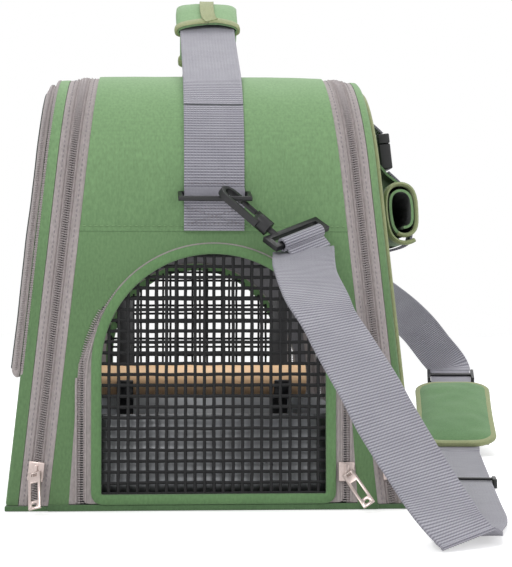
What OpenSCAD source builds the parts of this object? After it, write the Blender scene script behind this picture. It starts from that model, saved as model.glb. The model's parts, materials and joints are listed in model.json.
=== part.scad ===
/* [Bag] */
// Length of the bag from end panel to end panel
body_length = 400; // [360:10:440]
// Width of the base between the side zips
base_width = 208; // [200:2:220]
// Width of the roof between the side zips
top_width = 146; // [136:2:156]
// Height of the bag
body_height = 280; // [265:5:300]
// Radius of the two rounded ends of the roof
roof_radius = 65; // [55:1:72]
// Thickness of the padded fabric walls
wall = 3; // [2.4:0.2:3.6]

/* [End doors] */
// Height of the centre of each door's arch
arch_height = 90.5; // [84:0.5:96]
// Fabric left beside each door at the base
door_margin = 13; // [11:0.5:16]
// Width of the green rim round each end net
rim_width = 5.5; // [4:0.5:7]
// Width of one half of a window zip's tape
tape_width = 6.3; // [5:0.1:7]

/* [Side doors] */
// Width of the main zip band beside each end panel
zip_band = 19; // [17:0.5:22]
// Depth of the left side door's gusset
left_gusset = 8; // [6:0.5:10]
// Depth of the right side door's gusset
right_gusset = 5; // [4:0.5:7]
// Thickness of the left cover
cover_thick = 6; // [5:0.5:8]
// Height of the lower edge of both side windows
window_sill = 78; // [70:1:86]

/* [Inside] */
// Depth of the steel tray
tray_depth = 54; // [40:1:58]
// Diameter of the wooden perch
perch_dia = 23; // [18:0.5:25]
// Length of the perch
perch_length = 152; // [144:1:158]
// Height of the centre line of the perch
perch_height = 75; // [73:0.5:85]

/* [Handle and strap] */
// Width of the webbing
webbing_width = 38; // [36:0.5:40]
// Thickness of the webbing
webbing_thick = 1.6; // [1.4:0.1:2]
// Height of the crown of the handle above the roof
handle_rise = 68; // [60:1:76]
// Length of the grip wrap along the handle
grip_length = 128; // [104:2:136]
// Width of the shoulder pad
pad_width = 66; // [60:1:70]
// Length of the shoulder pad
pad_length = 160; // [140:2:170]

/* [Hidden] */
$fn = 48;

half_length = body_length / 2;
half_base = base_width / 2;
half_top = top_width / 2;
lean = atan((half_base - half_top) / body_height);
slant_height = body_height / cos(lean);
clear = 0.3;
tiny = 0.02;
big = 1000;

// End doors
opening_half = half_base - door_margin;
zip_gap = 1.2;
zip_line = opening_half - tape_width - zip_gap;
rim_outer = zip_line - zip_gap / 2 - tape_width;
net_half = rim_outer - rim_width;
flap_radius = rim_outer + 1;
flap_mid_inset = 6;
flap_top_inset = 21;
flap_mid_rise = 1.5;
flap_top_rise = 37.5;
seam_gap = 7.5;
seam_height = arch_height + flap_radius + seam_gap;
hem_height = 4;
hem_thick = 1.5;
door_bottom = hem_height + clear;
tape_thick = 1.4;
bead_width = 1.5;
bead_thick = 2.6;
rim_proud = 3;
net_thick = 1.4;
end_net_cell = 13;
side_net_cell = 21;
net_cord = 2.4;

// Side doors, measured outward from the leaning opening of the bag
flare = 0.2;
side_zip_line = zip_band / 2;
left_face = zip_band + left_gusset;
right_face = zip_band + right_gusset;
door_clear = 0.3;
side_bottom = wall + clear;
cover_inset = 11;
cover_outer = left_face + cover_thick;
cover_zip_width = 5;
window_inset = 30;
piping_radius = 2;
roll_high = 43;
roll_thick = 24;
roll_height = 187;
roll_wall = 3.5;
roll_half = half_length - 24;
buckle_width = 26;
buckle_place = 110;
buckle_out = 37;
buckle_thick = 8;
buckle_bottom = roll_height + 32;
socket_length = 17;
plug_head = 7;
prong_length = 11;
hold_web_width = 20;

// Inside
board_thick = 3;
tray_clear = 6;
tray_wall = 0.8;
tray_lip = 3;
post_place = 58;
post_width = 12;
post_thick = 6;
post_top = 135;
foot_thick = 3;
foot_width = 44;
cradle_wall = 3;

// Handle and strap
anchor_top = 256;
web_out = half_length + webbing_thick;
ring_bar = 3;
ring_length = 46;
ring_depth = 20;
ring_height = 199;
sleeve_radius = ring_bar / 2 * 1.45;
ring_tilt = 14;
ring_reach = ring_depth - ring_bar;
hook_place = 11;
hook_aim = [0.74, -0.16, -0.65];

module hoop_outline(inset) {
    length_in = half_length - inset;
    radius_in = roof_radius - inset;
    flat = half_length - roof_radius;
    spring = body_height - roof_radius;
    translate([-length_in, 0]) square([2 * length_in, spring]);
    translate([-flat, 0]) square([2 * flat, body_height - inset]);
    for (side = [-1, 1]) translate([side * flat, spring]) circle(radius_in);
}

module hoop_shell(outer, inner, bottom) {
    difference() {
        intersection() {
            hoop_outline(outer);
            translate([-big, bottom]) square([2 * big, big]);
        }
        hoop_outline(inner);
    }
}

module along_x(half_width) {
    rotate([90, 0, 90]) translate([0, 0, -half_width]) linear_extrude(2 * half_width) children();
}

module bag_wedge() {
    rotate([90, 0, 0]) translate([0, 0, -big / 2]) linear_extrude(big)
        polygon([[-half_base, 0], [half_base, 0], [half_top, body_height], [-half_top, body_height]]);
}

// Plates in the plane of an end panel: y runs from front to back
module end_plate(front, back) {
    translate([0, back, 0]) rotate([90, 0, 0]) linear_extrude(back - front) children();
}

module far_side() {
    mirror([0, 1, 0]) children();
}

module arch_outline(half, bottom) {
    translate([-half, bottom]) square([2 * half, arch_height - bottom]);
    translate([0, arch_height]) circle(half, $fn = 96);
}

module opening_outline(gap) {
    translate([0, arch_height]) circle(flap_radius - gap, $fn = 96);
    low = opening_half - gap;
    mid = low - flap_mid_inset;
    high = low - flap_top_inset;
    polygon([[-low, door_bottom - clear], [low, door_bottom - clear],
        [mid, arch_height + flap_mid_rise], [high, arch_height + flap_top_rise],
        [-high, arch_height + flap_top_rise], [-mid, arch_height + flap_mid_rise]]);
}

// Places children drawn as (along the bag, up the slope, outward) on a side of the bag
module right_side() {
    translate([half_base, 0, 0]) rotate([0, -lean, 0]) rotate([90, 0, 90]) children();
}

module left_side() {
    mirror([1, 0, 0]) right_side() children();
}

module side_outline(inset, bottom = 0) {
    long = half_length - inset;
    top = slant_height - inset;
    radius = roof_radius - inset;
    translate([-long, bottom]) square([2 * long, top - radius - bottom]);
    translate([radius - long, bottom]) square([2 * (long - radius), top - bottom]);
    for (side = [-1, 1]) translate([side * (long - radius), top - radius]) circle(radius);
}

module above_base() {
    intersection() {
        children();
        translate([-big / 2, -big / 2, side_bottom]) cube(big);
    }
}

// A thin hoop that tapers as it stands out from the side of the bag
module taper_band(from, to, inset_from, inset_to, thick) {
    difference() {
        hull() {
            translate([0, 0, from]) linear_extrude(tiny) side_outline(inset_from, -20);
            translate([0, 0, to - tiny]) linear_extrude(tiny) side_outline(inset_to, -20);
        }
        hull() {
            translate([0, 0, from - 1]) linear_extrude(1 + tiny) side_outline(inset_from + thick, -30);
            translate([0, 0, to - tiny]) linear_extrude(1) side_outline(inset_to + thick, -30);
        }
    }
}

function unit(v) = v / norm(v);
function spline_point(a, b, c, d, t) = 0.5 * ((2 * b) + (c - a) * t + (2 * a - 5 * b + 4 * c - d) * t * t
    + (3 * b - a - 3 * c + d) * t * t * t);
function smooth(points, steps) = [
    for (i = [0:len(points) - 2]) for (s = [0:steps - 1])
        spline_point(points[max(i - 1, 0)], points[i], points[i + 1], points[min(i + 2, len(points) - 1)],
            s / steps),
    points[len(points) - 1]];
function tangent(points, i) = unit(points[min(i + 1, len(points) - 1)] - points[max(i - 1, 0)]);
function square_to(v, t) = unit(v - (v * t) * t);

// Flat webbing swept along a route; across gives its width direction at each point
module webbing(route, across, width, thick, steps = 4) {
    path = smooth(route, steps);
    widths = smooth(across, steps);
    count = len(path);
    corners = [for (i = [0:count - 1])
        let (t = tangent(path, i), w = square_to(widths[i], t), n = cross(t, w))
        for (k = [[-1, -1], [1, -1], [1, 1], [-1, 1]]) path[i] + w * k[0] * width / 2 + n * k[1] * thick / 2];
    walls = [for (i = [0:count - 2]) for (k = [0:3])
        let (a = 4 * i + k, b = 4 * i + (k + 1) % 4) each [[a, b, b + 4], [a, b + 4, a + 4]]];
    last = 4 * (count - 1);
    ends = [[0, 2, 1], [0, 3, 2], [last, last + 1, last + 2], [last, last + 2, last + 3]];
    polyhedron(corners, [for (f = concat(walls, ends)) [f[0], f[2], f[1]]], convexity = 6);
}

module net_outline_bars(cell, half_u, half_v) {
    for (u = [0:cell:half_u]) for (side = [-1, 1]) translate([side * u - net_cord / 2, -half_v])
        square([net_cord, 2 * half_v]);
    for (v = [0:cell:half_v]) for (side = [-1, 1]) translate([-half_u, side * v - net_cord / 2])
        square([2 * half_u, net_cord]);
}

module slider_body() {
    front = 1.6;
    color("silver") {
        translate([-5, -6, bead_thick / 2 + clear]) cube([10, 12, front]);
        translate([-1.2, -4, bead_thick / 2 + clear + front]) cube([2.4, 8, 2.4]);
        translate([-zip_gap / 2 + clear, 2.5, -bead_thick / 2]) cube([zip_gap - 2 * clear, 3, bead_thick + clear]);
    }
}

module pull_tab(turn, drop) {
    hole = 3.2;
    lift = bead_thick / 2 + clear + 1.6 + 2.4 + clear;
    color("silver") rotate([0, 0, turn]) translate([0, -2, lift + 2.2]) rotate([-drop, 0, 0]) difference() {
        translate([-4, -26, -0.7]) cube([8, 28, 1.4]);
        translate([-2.2, -20, -2]) cube([4.4, 14, 4]);
        translate([0, -0.2, -2]) cube([3.4, 2.4, 8], center = true);
        translate([0, -23, -2]) cylinder(r = hole / 2, h = 4);
    }
}

module base_panel() {
    color("darkolivegreen") {
        left = half_base + left_face * cos(lean);
        right = half_base + right_face * cos(lean);
        translate([-left, -half_length, 0]) cube([left + right, body_length, wall]);
        for (side = [-1, 1]) translate([-half_base, side > 0 ? half_length : -half_length - hem_thick, 0])
            cube([base_width, hem_thick, hem_height]);
    }
}

module base_board() {
    inset = wall + 1;
    color("dimgray") translate([inset - half_base + 1, inset - half_length, wall])
        cube([base_width - 2 * inset - 2, body_length - 2 * inset, board_thick]);
}

module end_panel() {
    color("mediumseagreen") intersection() {
        end_plate(-half_length, wall - half_length) difference() {
            translate([-half_base, wall]) square([base_width, seam_height - wall]);
            translate([0, -1]) opening_outline(0);
            opening_outline(0);
        }
        bag_wedge();
    }
}

module roof_panel() {
    color("mediumseagreen") intersection() {
        along_x(half_base) hoop_shell(0, wall, seam_height);
        bag_wedge();
    }
}

module door_rim() {
    color("seagreen") {
        end_plate(-half_length - rim_proud, 0.8 - half_length) difference() {
            arch_outline(rim_outer, door_bottom);
            arch_outline(net_half, door_bottom + rim_width);
        }
        end_plate(-half_length - 0.2, tape_thick - half_length - 0.2) difference() {
            intersection() {
                arch_outline(zip_line - zip_gap / 2, door_bottom);
                opening_outline(clear);
            }
            arch_outline(rim_outer, door_bottom - 1);
        }
        for (side = [-1, 1]) translate([side > 0 ? zip_line - zip_gap / 2 - bead_width
            : zip_gap / 2 - zip_line, -half_length - bead_thick / 2, door_bottom])
            cube([bead_width, bead_thick, 60]);
    }
}

module door_net() {
    color("black") end_plate(0.8 - half_length, 0.8 + net_thick - half_length) intersection() {
        arch_outline(rim_outer - 1.5, door_bottom + 2);
        union() {
            translate([0, arch_height]) net_outline_bars(end_net_cell, net_half + rim_width, net_half + 30);
            difference() {
                arch_outline(rim_outer - 1.5, door_bottom + 2);
                arch_outline(net_half, door_bottom + rim_width);
            }
        }
    }
}

module zip_tape() {
    color("rosybrown") {
        end_plate(-half_length - 0.2, tape_thick - half_length - 0.2) difference() {
            intersection() {
                opening_outline(0);
                translate([-big / 2, door_bottom]) square([big, big]);
            }
            arch_outline(zip_line + zip_gap / 2, door_bottom - 1);
            translate([-big / 2, arch_height + 20]) square(big);
        }
        for (side = [-1, 1]) translate([side > 0 ? zip_line + zip_gap / 2
            : -zip_line - zip_gap / 2 - bead_width, -half_length - bead_thick / 2, door_bottom])
            cube([bead_width, bead_thick, 60]);
    }
}

slider_height = 24;
module at_window_zip() {
    translate([zip_line, -half_length, slider_height]) rotate([90, 0, 0]) children();
}

// A point on a side door's main zip, with x across it, y up it and z outward from the end of the bag
module at_main_zip() {
    tilt = atan(flare);
    translate([-(half_length - flare * side_zip_line), slider_height, side_zip_line])
        rotate([0, tilt - 90, 0]) children();
}

module main_zip_half(from, to) {
    color("rosybrown") taper_band(from, to, flare * from, flare * to, tape_thick);
}

module inner_zip() {
    main_zip_half(0, side_zip_line - zip_gap / 2);
}

module outer_zip() {
    main_zip_half(side_zip_line + zip_gap / 2, zip_band);
}

module side_frame(face) {
    color("mediumseagreen") {
        taper_band(zip_band, face, flare * zip_band, flare * face, wall);
        translate([0, 0, face - wall]) linear_extrude(wall) difference() {
            side_outline(flare * face + wall / 2, -20);
            side_outline(window_inset, window_sill);
        }
    }
}

module left_door_net() {
    color("black") left_side() translate([0, 0, left_face - wall - net_thick]) linear_extrude(net_thick)
        side_outline(window_inset - 8, window_sill - 8);
}

module left_cover() {
    edge = cover_inset + cover_zip_width + 1;
    color("mediumseagreen") left_side() translate([0, 0, left_face + clear]) linear_extrude(cover_thick)
        side_outline(edge, window_sill + 6);
}

module cover_zip_tape() {
    color("rosybrown") left_side() translate([0, 0, left_face]) linear_extrude(tape_thick * 2) difference() {
        side_outline(cover_inset, window_sill);
        side_outline(cover_inset + cover_zip_width, window_sill + 5);
    }
}

module cover_slider_place() {
    left_side() translate([half_length - cover_inset - cover_zip_width - 0.5, window_sill + 24,
        left_face + cover_thick + clear]) children();
}

module right_door_net() {
    inset = window_inset - 8;
    color("black") right_side() translate([0, 0, right_face - wall - net_thick]) linear_extrude(net_thick)
        intersection() {
            side_outline(inset, window_sill - 8);
            union() {
                translate([0, (window_sill + slant_height) / 2])
                    net_outline_bars(side_net_cell, half_length, slant_height / 2);
                difference() {
                    side_outline(inset, window_sill - 8);
                    side_outline(inset + 7, window_sill - 1);
                }
            }
        }
}

module right_piping() {
    color("darkkhaki") right_side() translate([0, 0, right_face]) linear_extrude(2 * piping_radius)
        difference() {
            side_outline(flare * right_face + 6, 20);
            side_outline(flare * right_face + 6 + 2 * piping_radius, 20 + 2 * piping_radius);
        }
}

roll_out = right_face + 2 * piping_radius + clear + roll_thick / 2;
module roll_outline(shrink) {
    round_part = roll_thick / 2 - shrink;
    straight = (roll_high - roll_thick) / 2;
    for (side = [-1, 1]) translate([side * straight, 0]) circle(round_part);
    square([2 * straight, 2 * round_part], center = true);
}

// The rolled cover lies along the bag; its outline is drawn as (up the slope, outward)
module rolled_cover() {
    top_sheet = 2;
    sheet_half = roll_half - 28;
    color("mediumseagreen") right_side() {
        translate([-roll_half, roll_height, roll_out]) rotate([90, 0, 90]) linear_extrude(2 * roll_half)
            difference() {
                roll_outline(0);
                roll_outline(roll_wall);
            }
        translate([-sheet_half, 0, 0]) rotate([90, 0, 90]) linear_extrude(2 * sheet_half) polygon([
            [roll_height + roll_high / 2 - 8, roll_out + 1], [roll_height + roll_high / 2 - 8, roll_out - 3],
            [slant_height - 40, right_face + clear], [slant_height - 28, right_face + clear],
            [slant_height - 28, right_face + clear + top_sheet]]);
    }
}

module hold_strap(place) {
    bend = (roll_high - roll_thick) / 2;
    reach = roll_thick / 2 + 1.6;
    corner = reach * 0.75;
    route = [[place, buckle_bottom - 2, buckle_out + 5], [place, roll_height + bend + corner, roll_out + corner],
        [place, roll_height + bend, roll_out + reach], [place, roll_height - bend, roll_out + reach],
        [place, roll_height - bend - corner, roll_out + corner],
        [place, roll_height - bend - reach, roll_out],
        [place, roll_height - bend - reach - 1, right_face + 1]];
    webbing(route, [for (p = route) [1, 0, 0]], hold_web_width, 1.2, 3);
}

buckle_top = buckle_bottom + socket_length + plug_head;
module roll_straps() {
    color("gray") right_side() for (side = [-1, 1]) {
        hold_strap(side * buckle_place);
        route = [[side * buckle_place, buckle_top + 0.4, buckle_out + 4],
            [side * buckle_place, buckle_top + 8, buckle_out - 3],
            [side * buckle_place, slant_height - 26, right_face + 2.2],
            [side * buckle_place, slant_height - 18, right_face + 1]];
        webbing(route, [for (p = route) [1, 0, 0]], hold_web_width, 1.2, 3);
    }
}

module buckle_sockets() {
    color("black") right_side() for (side = [-1, 1])
        translate([side * buckle_place, buckle_bottom, buckle_out]) difference() {
            translate([-buckle_width / 2, 0, 0]) cube([buckle_width, socket_length, buckle_thick]);
            translate([-9, 3, 2]) cube([18, socket_length, buckle_thick - 4]);
        }
}

module buckle_plug(place) {
    color("black") right_side() translate([place, buckle_bottom + socket_length + clear, buckle_out]) {
        translate([-buckle_width / 2, 0, 0]) cube([buckle_width, plug_head - clear, buckle_thick]);
        for (side = [-1, 1]) translate([side * 5.5 - 2, -prong_length, 2.5])
            cube([4, prong_length + 1, buckle_thick - 5]);
    }
}

tray_floor = wall + board_thick;
tray_half_x = half_base - wall - tray_clear - (half_base - half_top) * tray_depth / body_height;
tray_half_y = half_length - wall - tray_clear;
rim_thick = 1.6;

// The tray's floor and ends are one folded sheet, and its sides are joined on
module tray() {
    color("silver") translate([-tray_half_x, 0, tray_floor]) {
        translate([0, -tray_half_y, 0]) cube([2 * tray_half_x, 2 * tray_half_y, tray_wall]);
        for (side = [-1, 1]) {
            translate([0, side * (tray_half_y - tray_wall / 2) - tray_wall / 2, 0])
                cube([2 * tray_half_x, tray_wall, tray_depth]);
            translate([0, side * (tray_half_y + tray_lip / 2) - tray_lip / 2 - tiny * side, tray_depth - rim_thick])
                cube([2 * tray_half_x, tray_lip, rim_thick]);
        }
    }
}

module tray_sides() {
    long = tray_half_y - tray_wall;
    color("silver") for (side = [-1, 1]) translate([side * tray_half_x, 0, tray_floor]) {
        translate([side > 0 ? -tray_wall : 0, -long, tray_wall])
            cube([tray_wall, 2 * long, tray_depth - tray_wall]);
        translate([side > 0 ? 0 : -tray_lip, -tray_half_y - tray_lip, tray_depth - rim_thick])
            cube([tray_lip, 2 * (tray_half_y + tray_lip), rim_thick]);
    }
}

stand_bottom = tray_floor + tray_wall;
post_back = perch_dia / 2 + cradle_wall + clear;
module stand_foot() {
    color("black") translate([-post_place - 14, post_back + post_thick / 2 - foot_width / 2, stand_bottom])
        cube([2 * post_place + 28, foot_width, foot_thick]);
}

// Each post carries a hooked cradle that is open at the top
module perch_posts() {
    radius = perch_dia / 2 + clear;
    color("black") for (side = [-1, 1]) translate([side * post_place - post_width / 2, 0, 0]) {
        translate([0, post_back, stand_bottom + foot_thick])
            cube([post_width, post_thick, post_top - stand_bottom - foot_thick]);
        translate([0, 0, perch_height]) rotate([90, 0, 90]) linear_extrude(post_width) difference() {
            union() {
                circle(radius + cradle_wall);
                translate([0, -radius - cradle_wall]) square([post_back + 1, radius + cradle_wall]);
            }
            circle(radius);
            translate([-big / 2, 0]) square([big / 2 + post_back, big]);
        }
    }
}

module perch() {
    color("burlywood") translate([-perch_length / 2, 0, perch_height]) rotate([0, 90, 0])
        cylinder(d = perch_dia, h = perch_length);
}

module near_anchor() {
    intersection() {
        along_x(webbing_width / 2) hoop_shell(-webbing_thick, 0, 0);
        translate([-big / 2, -big / 2, ring_height + sleeve_radius])
            cube([big, big / 2, anchor_top - ring_height - sleeve_radius]);
    }
    translate([-webbing_width / 2, -web_out, seam_height])
        cube([webbing_width, webbing_thick, ring_height - seam_height]);
    translate([-webbing_width / 2, sleeve_centre, ring_height]) rotate([0, 90, 0]) difference() {
        cylinder(r = sleeve_radius + webbing_thick, h = webbing_width);
        translate([0, 0, -1]) cylinder(r = sleeve_radius, h = webbing_width + 2);
    }
}

sleeve_centre = -half_length - sleeve_radius - webbing_thick;
hook_start = [hook_place, sleeve_centre - ring_reach * cos(ring_tilt),
    ring_height - ring_reach * sin(ring_tilt)] - 1.5 * unit(hook_aim);
module handle_anchors() {
    color("gray") {
        near_anchor();
        far_side() near_anchor();
    }
}

roof_centre = half_length - roof_radius;
roof_spring = body_height - roof_radius;
leg_angle = asin((anchor_top - roof_spring) / (roof_radius + webbing_thick / 2));
leg_start = [0, -roof_centre - (roof_radius + webbing_thick / 2) * cos(leg_angle), anchor_top + 4 * clear];
crown = body_height + handle_rise;
handle_points = [leg_start, [0, -roof_centre - 34, body_height - 5], [0, -roof_centre + 8, body_height + 16],
    [0, -76, crown - 26], [0, -44, crown - 8], [0, 0, crown], [0, 44, crown - 8], [0, 76, crown - 26],
    [0, roof_centre - 8, body_height + 16], [0, roof_centre + 34, body_height - 5],
    [0, -leg_start[1], leg_start[2]]];
module handle_strap() {
    color("gray") webbing(handle_points, [for (p = handle_points) [1, 0, 0]], webbing_width, webbing_thick, 4);
}

grip_half = grip_length / 2;
grip_drop = 8 + (grip_half - 44) * 0.54;
grip_points = [[0, -grip_half, crown - grip_drop], [0, -44, crown - 8], [0, -22, crown - 2.2], [0, 0, crown],
    [0, 22, crown - 2.2], [0, 44, crown - 8], [0, grip_half, crown - grip_drop]];
module grip_wrap() {
    color("mediumseagreen") difference() {
        webbing(grip_points, [for (p = grip_points) [1, 0, 0]], webbing_width + 5, 10, 2);
        webbing([for (p = grip_points) p + [0, p[1] * 0.04, -abs(p[1]) * 0.015]],
            [for (p = grip_points) [1, 0, 0]], webbing_width + 1, 4.6, 2);
    }
}

module ring() {
    inner = ring_depth - 2 * ring_bar;
    color("black") translate([0, sleeve_centre, ring_height]) rotate([ring_tilt, 0, 0]) difference() {
        translate([-ring_length / 2, -ring_depth + ring_bar / 2, -ring_bar / 2])
            cube([ring_length, ring_depth, ring_bar]);
        translate([-ring_length / 2 + ring_bar, -ring_depth + ring_bar * 1.5, -ring_bar])
            cube([ring_length - 2 * ring_bar, inner, 2 * ring_bar]);
    }
}

// Hook frame: x along the hook from the ring, z out of its plane
hook_x = unit(hook_aim);
hook_z = square_to([0.55, -0.45, 0.7], hook_x);
hook_y = cross(hook_z, hook_x);
module hook_frame() {
    multmatrix([[hook_x[0], hook_y[0], hook_z[0], hook_start[0]],
        [hook_x[1], hook_y[1], hook_z[1], hook_start[1]],
        [hook_x[2], hook_y[2], hook_z[2], hook_start[2]]]) children();
}

hook_slot = 10.8;
hook_arm = 2.9;
hook_length = 28;
gate_gap = 12;
gate_start = 6;
module hook() {
    outer = hook_slot / 2 + hook_arm;
    color("black") hook_frame() difference() {
        union() {
            translate([0, 0, -2]) cylinder(r = outer, h = 4);
            translate([0, -outer, -2]) cube([hook_length - 4, 2 * outer, 4]);
            translate([hook_length - 6, 0, 0]) rotate([0, 90, 0]) cylinder(r = 5, h = 9);
        }
        translate([0, 0, -3]) cylinder(r = hook_slot / 2, h = 6);
        translate([0, -hook_slot / 2, -3]) cube([hook_length - 8, hook_slot, 6]);
        translate([gate_start, hook_slot / 2 - 0.1, -3]) cube([gate_gap, hook_arm + 1, 6]);
        translate([hook_length - 1, 0, 0]) rotate([0, 90, 0]) cylinder(r = 2, h = 10);
    }
}

module gate() {
    color("black") hook_frame() translate([gate_start + clear, hook_slot / 2, -1.6])
        cube([gate_gap - 2 * clear, hook_arm - 0.8, 3.2]);
}

// The swivel's loop is a flat frame: x along its bar, y up to its crossbeam
bar_left = [37, -half_length - 36, 164];
bar_right = [69, -half_length - 14, 177];
bar_mid = (bar_left + bar_right) / 2;
bar_radius = 1.7;
bar_across = unit(bar_right - bar_left);
bar_half = norm(bar_right - bar_left) / 2;
swivel_tip = hook_start + hook_x * (hook_length + 9.5);
loop_up = square_to(swivel_tip - bar_mid, bar_across);
loop_out = cross(bar_across, loop_up);
loop_height = (swivel_tip - bar_mid) * loop_up;
module rod(from, to, radius) {
    along = to - from;
    translate(from) rotate([0, acos(along[2] / norm(along)), atan2(along[1], along[0])])
        cylinder(r = radius, h = norm(along));
}

module swivel() {
    color("black") {
        rod(hook_start + hook_x * (hook_length - 0.4), swivel_tip, 1.95);
        multmatrix([[bar_across[0], loop_up[0], loop_out[0], bar_mid[0]],
            [bar_across[1], loop_up[1], loop_out[1], bar_mid[1]],
            [bar_across[2], loop_up[2], loop_out[2], bar_mid[2]]])
            translate([0, 0, -bar_radius]) linear_extrude(2 * bar_radius) difference() {
                translate([-bar_half - bar_radius, -bar_radius])
                    square([2 * (bar_half + bar_radius), loop_height + 2 * bar_radius]);
                translate([-bar_half + bar_radius, bar_radius])
                    square([2 * (bar_half - bar_radius), loop_height - 2 * bar_radius]);
            }
    }
}

// Route of the shoulder strap: round points chosen by hand
near_route = [[54, -229, 162.6], [52, -262, 149.5], [57, -296, 130], [67, -312, 110], [81, -332, 83],
    [90, -344, 64], [107.5, -366, 32], [119, -385, 13], [124.5, -392, 7]];
near_across = [bar_across, [0.62, 0.72, 0.3], [0.6, 0.65, 0.45], [0.62, 0.6, 0.5], [0.68, 0.52, 0.5],
    [0.72, 0.48, 0.5], [0.78, 0.5, 0.35], [0.8, 0.52, 0.25], [0.81, 0.54, 0.2]];
floor_height = 3.4;
floor_start = [130.5, -366, floor_height];
floor_end = [226, 196, floor_height];
pad_aim = unit([22, 154, 47]);
pad_near = [228.5, 210, 8];
floor_route = [floor_start, [148.4, -290, floor_height], [164, -192, floor_height],
    [198, 21, floor_height], [222, 171, floor_height + 0.4], [226, 196, floor_height + 1.6], pad_near,
    pad_near + pad_aim * pad_length / 2, pad_near + pad_aim * (pad_length + 46)];
floor_across = [for (p = floor_route) [0.988, -0.156, 0]];
far_start = pad_near + pad_aim * (pad_length + 48.5);
far_route = [far_start, far_start + pad_aim * 12, [246, 428, 88], [226, 424, 112], [196, 392, 134], [150, 332, 158],
    [108, 276, 171], [80, 247, 172], [59.9, 230.7, 171.3]];
far_across = [[0.988, -0.156, 0], [0.98, -0.17, 0.05], [0.9, -0.22, 0.35], [0.8, -0.25, 0.55], [0.75, -0.29, 0.6],
    [0.7, -0.35, 0.6], [0.7, -0.45, 0.5], [0.75, -0.5, 0.4], [bar_across[0], -bar_across[1], bar_across[2]]];

module strap_sleeve(tab_aim) {
    radius = bar_radius * 1.42 + clear;
    half = webbing_width / 2 - 3;
    difference() {
        rod(bar_mid - bar_across * half, bar_mid + bar_across * half, radius + webbing_thick);
        rod(bar_mid - bar_across * (half + 1), bar_mid + bar_across * (half + 1), radius);
    }
    webbing([bar_mid + tab_aim * (radius + 0.6), bar_mid + tab_aim * 12], [bar_across, bar_across],
        webbing_width - 14, webbing_thick, 1);
}
module strap_near() {
    color("gray") {
        webbing(near_route, near_across, webbing_width, webbing_thick, 4);
        strap_sleeve(square_to([0, -0.6, -0.8], bar_across));
    }
}
module strap_floor() {
    color("gray") webbing(floor_route, floor_across, webbing_width, webbing_thick, 2);
}
module strap_far() {
    color("gray") {
        webbing(far_route, far_across, webbing_width, webbing_thick, 4);
        far_side() strap_sleeve(square_to([0.57, -0.82, 0], bar_across));
    }
}

pad_across = square_to([0.988, -0.156, 0], pad_aim);
pad_up = cross(pad_across, pad_aim);
module pad_frame() {
    multmatrix([[pad_across[0], pad_aim[0], pad_up[0], pad_near[0]],
        [pad_across[1], pad_aim[1], pad_up[1], pad_near[1]],
        [pad_across[2], pad_aim[2], pad_up[2], pad_near[2]]]) children();
}
pad_rings = 14;
pad_columns = 10;
pad_corner = 22;
pad_crown = 7;
pad_edge = 2.4;
pad_floor = webbing_thick / 2 + 0.4;
function pad_half(s) = let (d = min(s, 1 - s) * pad_length, r = pad_corner)
    pad_width / 2 - (d < r ? r - sqrt(r * r - (r - d) * (r - d)) : 0);
function pad_top(u, s) = pad_edge + pad_crown * (1 - u * u * u * u) * (1 - pow(abs(2 * s - 1), 6));
module shoulder_pad() {
    rows = [for (i = [0:pad_rings]) 0.002 + 0.996 * (1 - cos(180 * i / pad_rings)) / 2];
    top = [for (s = rows) for (j = [0:pad_columns]) let (u = 2 * j / pad_columns - 1)
        [u * pad_half(s), s * pad_length, pad_floor + pad_top(u, s)]];
    low = [for (s = rows) for (j = [0:pad_columns]) let (u = 2 * j / pad_columns - 1)
        [u * pad_half(s), s * pad_length, pad_floor]];
    wide = pad_columns + 1;
    base = len(top);
    skin = [for (i = [0:pad_rings - 1]) for (j = [0:pad_columns - 1]) let (a = i * wide + j)
        each [[a, a + 1, a + wide + 1], [a, a + wide + 1, a + wide],
            [base + a, base + a + wide + 1, base + a + 1], [base + a, base + a + wide, base + a + wide + 1]]];
    sides = [for (i = [0:pad_rings - 1]) for (j = [0, pad_columns]) let (a = i * wide + j, b = a + wide)
        each (j == 0 ? [[a, b, base + b], [a, base + b, base + a]] : [[a, base + b, b], [a, base + a, base + b]])];
    caps = [for (j = [0:pad_columns - 1]) let (a = j, b = pad_rings * wide + j)
        each [[a, base + a + 1, a + 1], [a, base + a, base + a + 1],
            [b, b + 1, base + b + 1], [b, base + b + 1, base + b]]];
    color("mediumseagreen") pad_frame()
        polyhedron(top_low(top, low), [for (f = concat(skin, sides, caps)) [f[0], f[2], f[1]]], convexity = 4);
}
function top_low(top, low) = concat(top, low);

module pad_backing() {
    back = 1.6;
    side_rail = (pad_width - webbing_width) / 2 - 6;
    color("black") pad_frame() {
        translate([-pad_width / 2 + 5, 12, -pad_floor - back])
            cube([pad_width - 10, pad_length - 24, back]);
        for (side = [-1, 1]) translate([side > 0 ? webbing_width / 2 + 1 : -webbing_width / 2 - 1 - side_rail, 12,
            -pad_floor]) cube([side_rail, pad_length - 24, 2 * pad_floor]);
    }
}

// Adjuster frame: end bars under the webbing, middle bar over it
module adjuster() {
    rail = 3;
    gap = 0.5;
    bar = 2;
    half = webbing_width / 2 + gap;
    low = -webbing_thick / 2 - gap - bar;
    high = webbing_thick / 2 + gap + bar;
    color("black") {
        for (side = [-1, 1]) translate([side > 0 ? half : -half - rail, -13, low]) cube([rail, 26, high - low]);
        for (side = [-1, 1]) translate([-half - 1, side * 11 - 2, low]) cube([2 * half + 2, 4, bar]);
        translate([-half - 1, -2, high - bar]) cube([2 * half + 2, 4, bar]);
    }
}
floor_turn = -atan2(198 - 164, 213);
module floor_adjuster() {
    translate([185, -60.5, floor_height]) rotate([0, 0, floor_turn]) adjuster();
}
module far_adjuster() {
    pad_frame() translate([0, pad_length + 30, 0]) adjuster();
}

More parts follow.
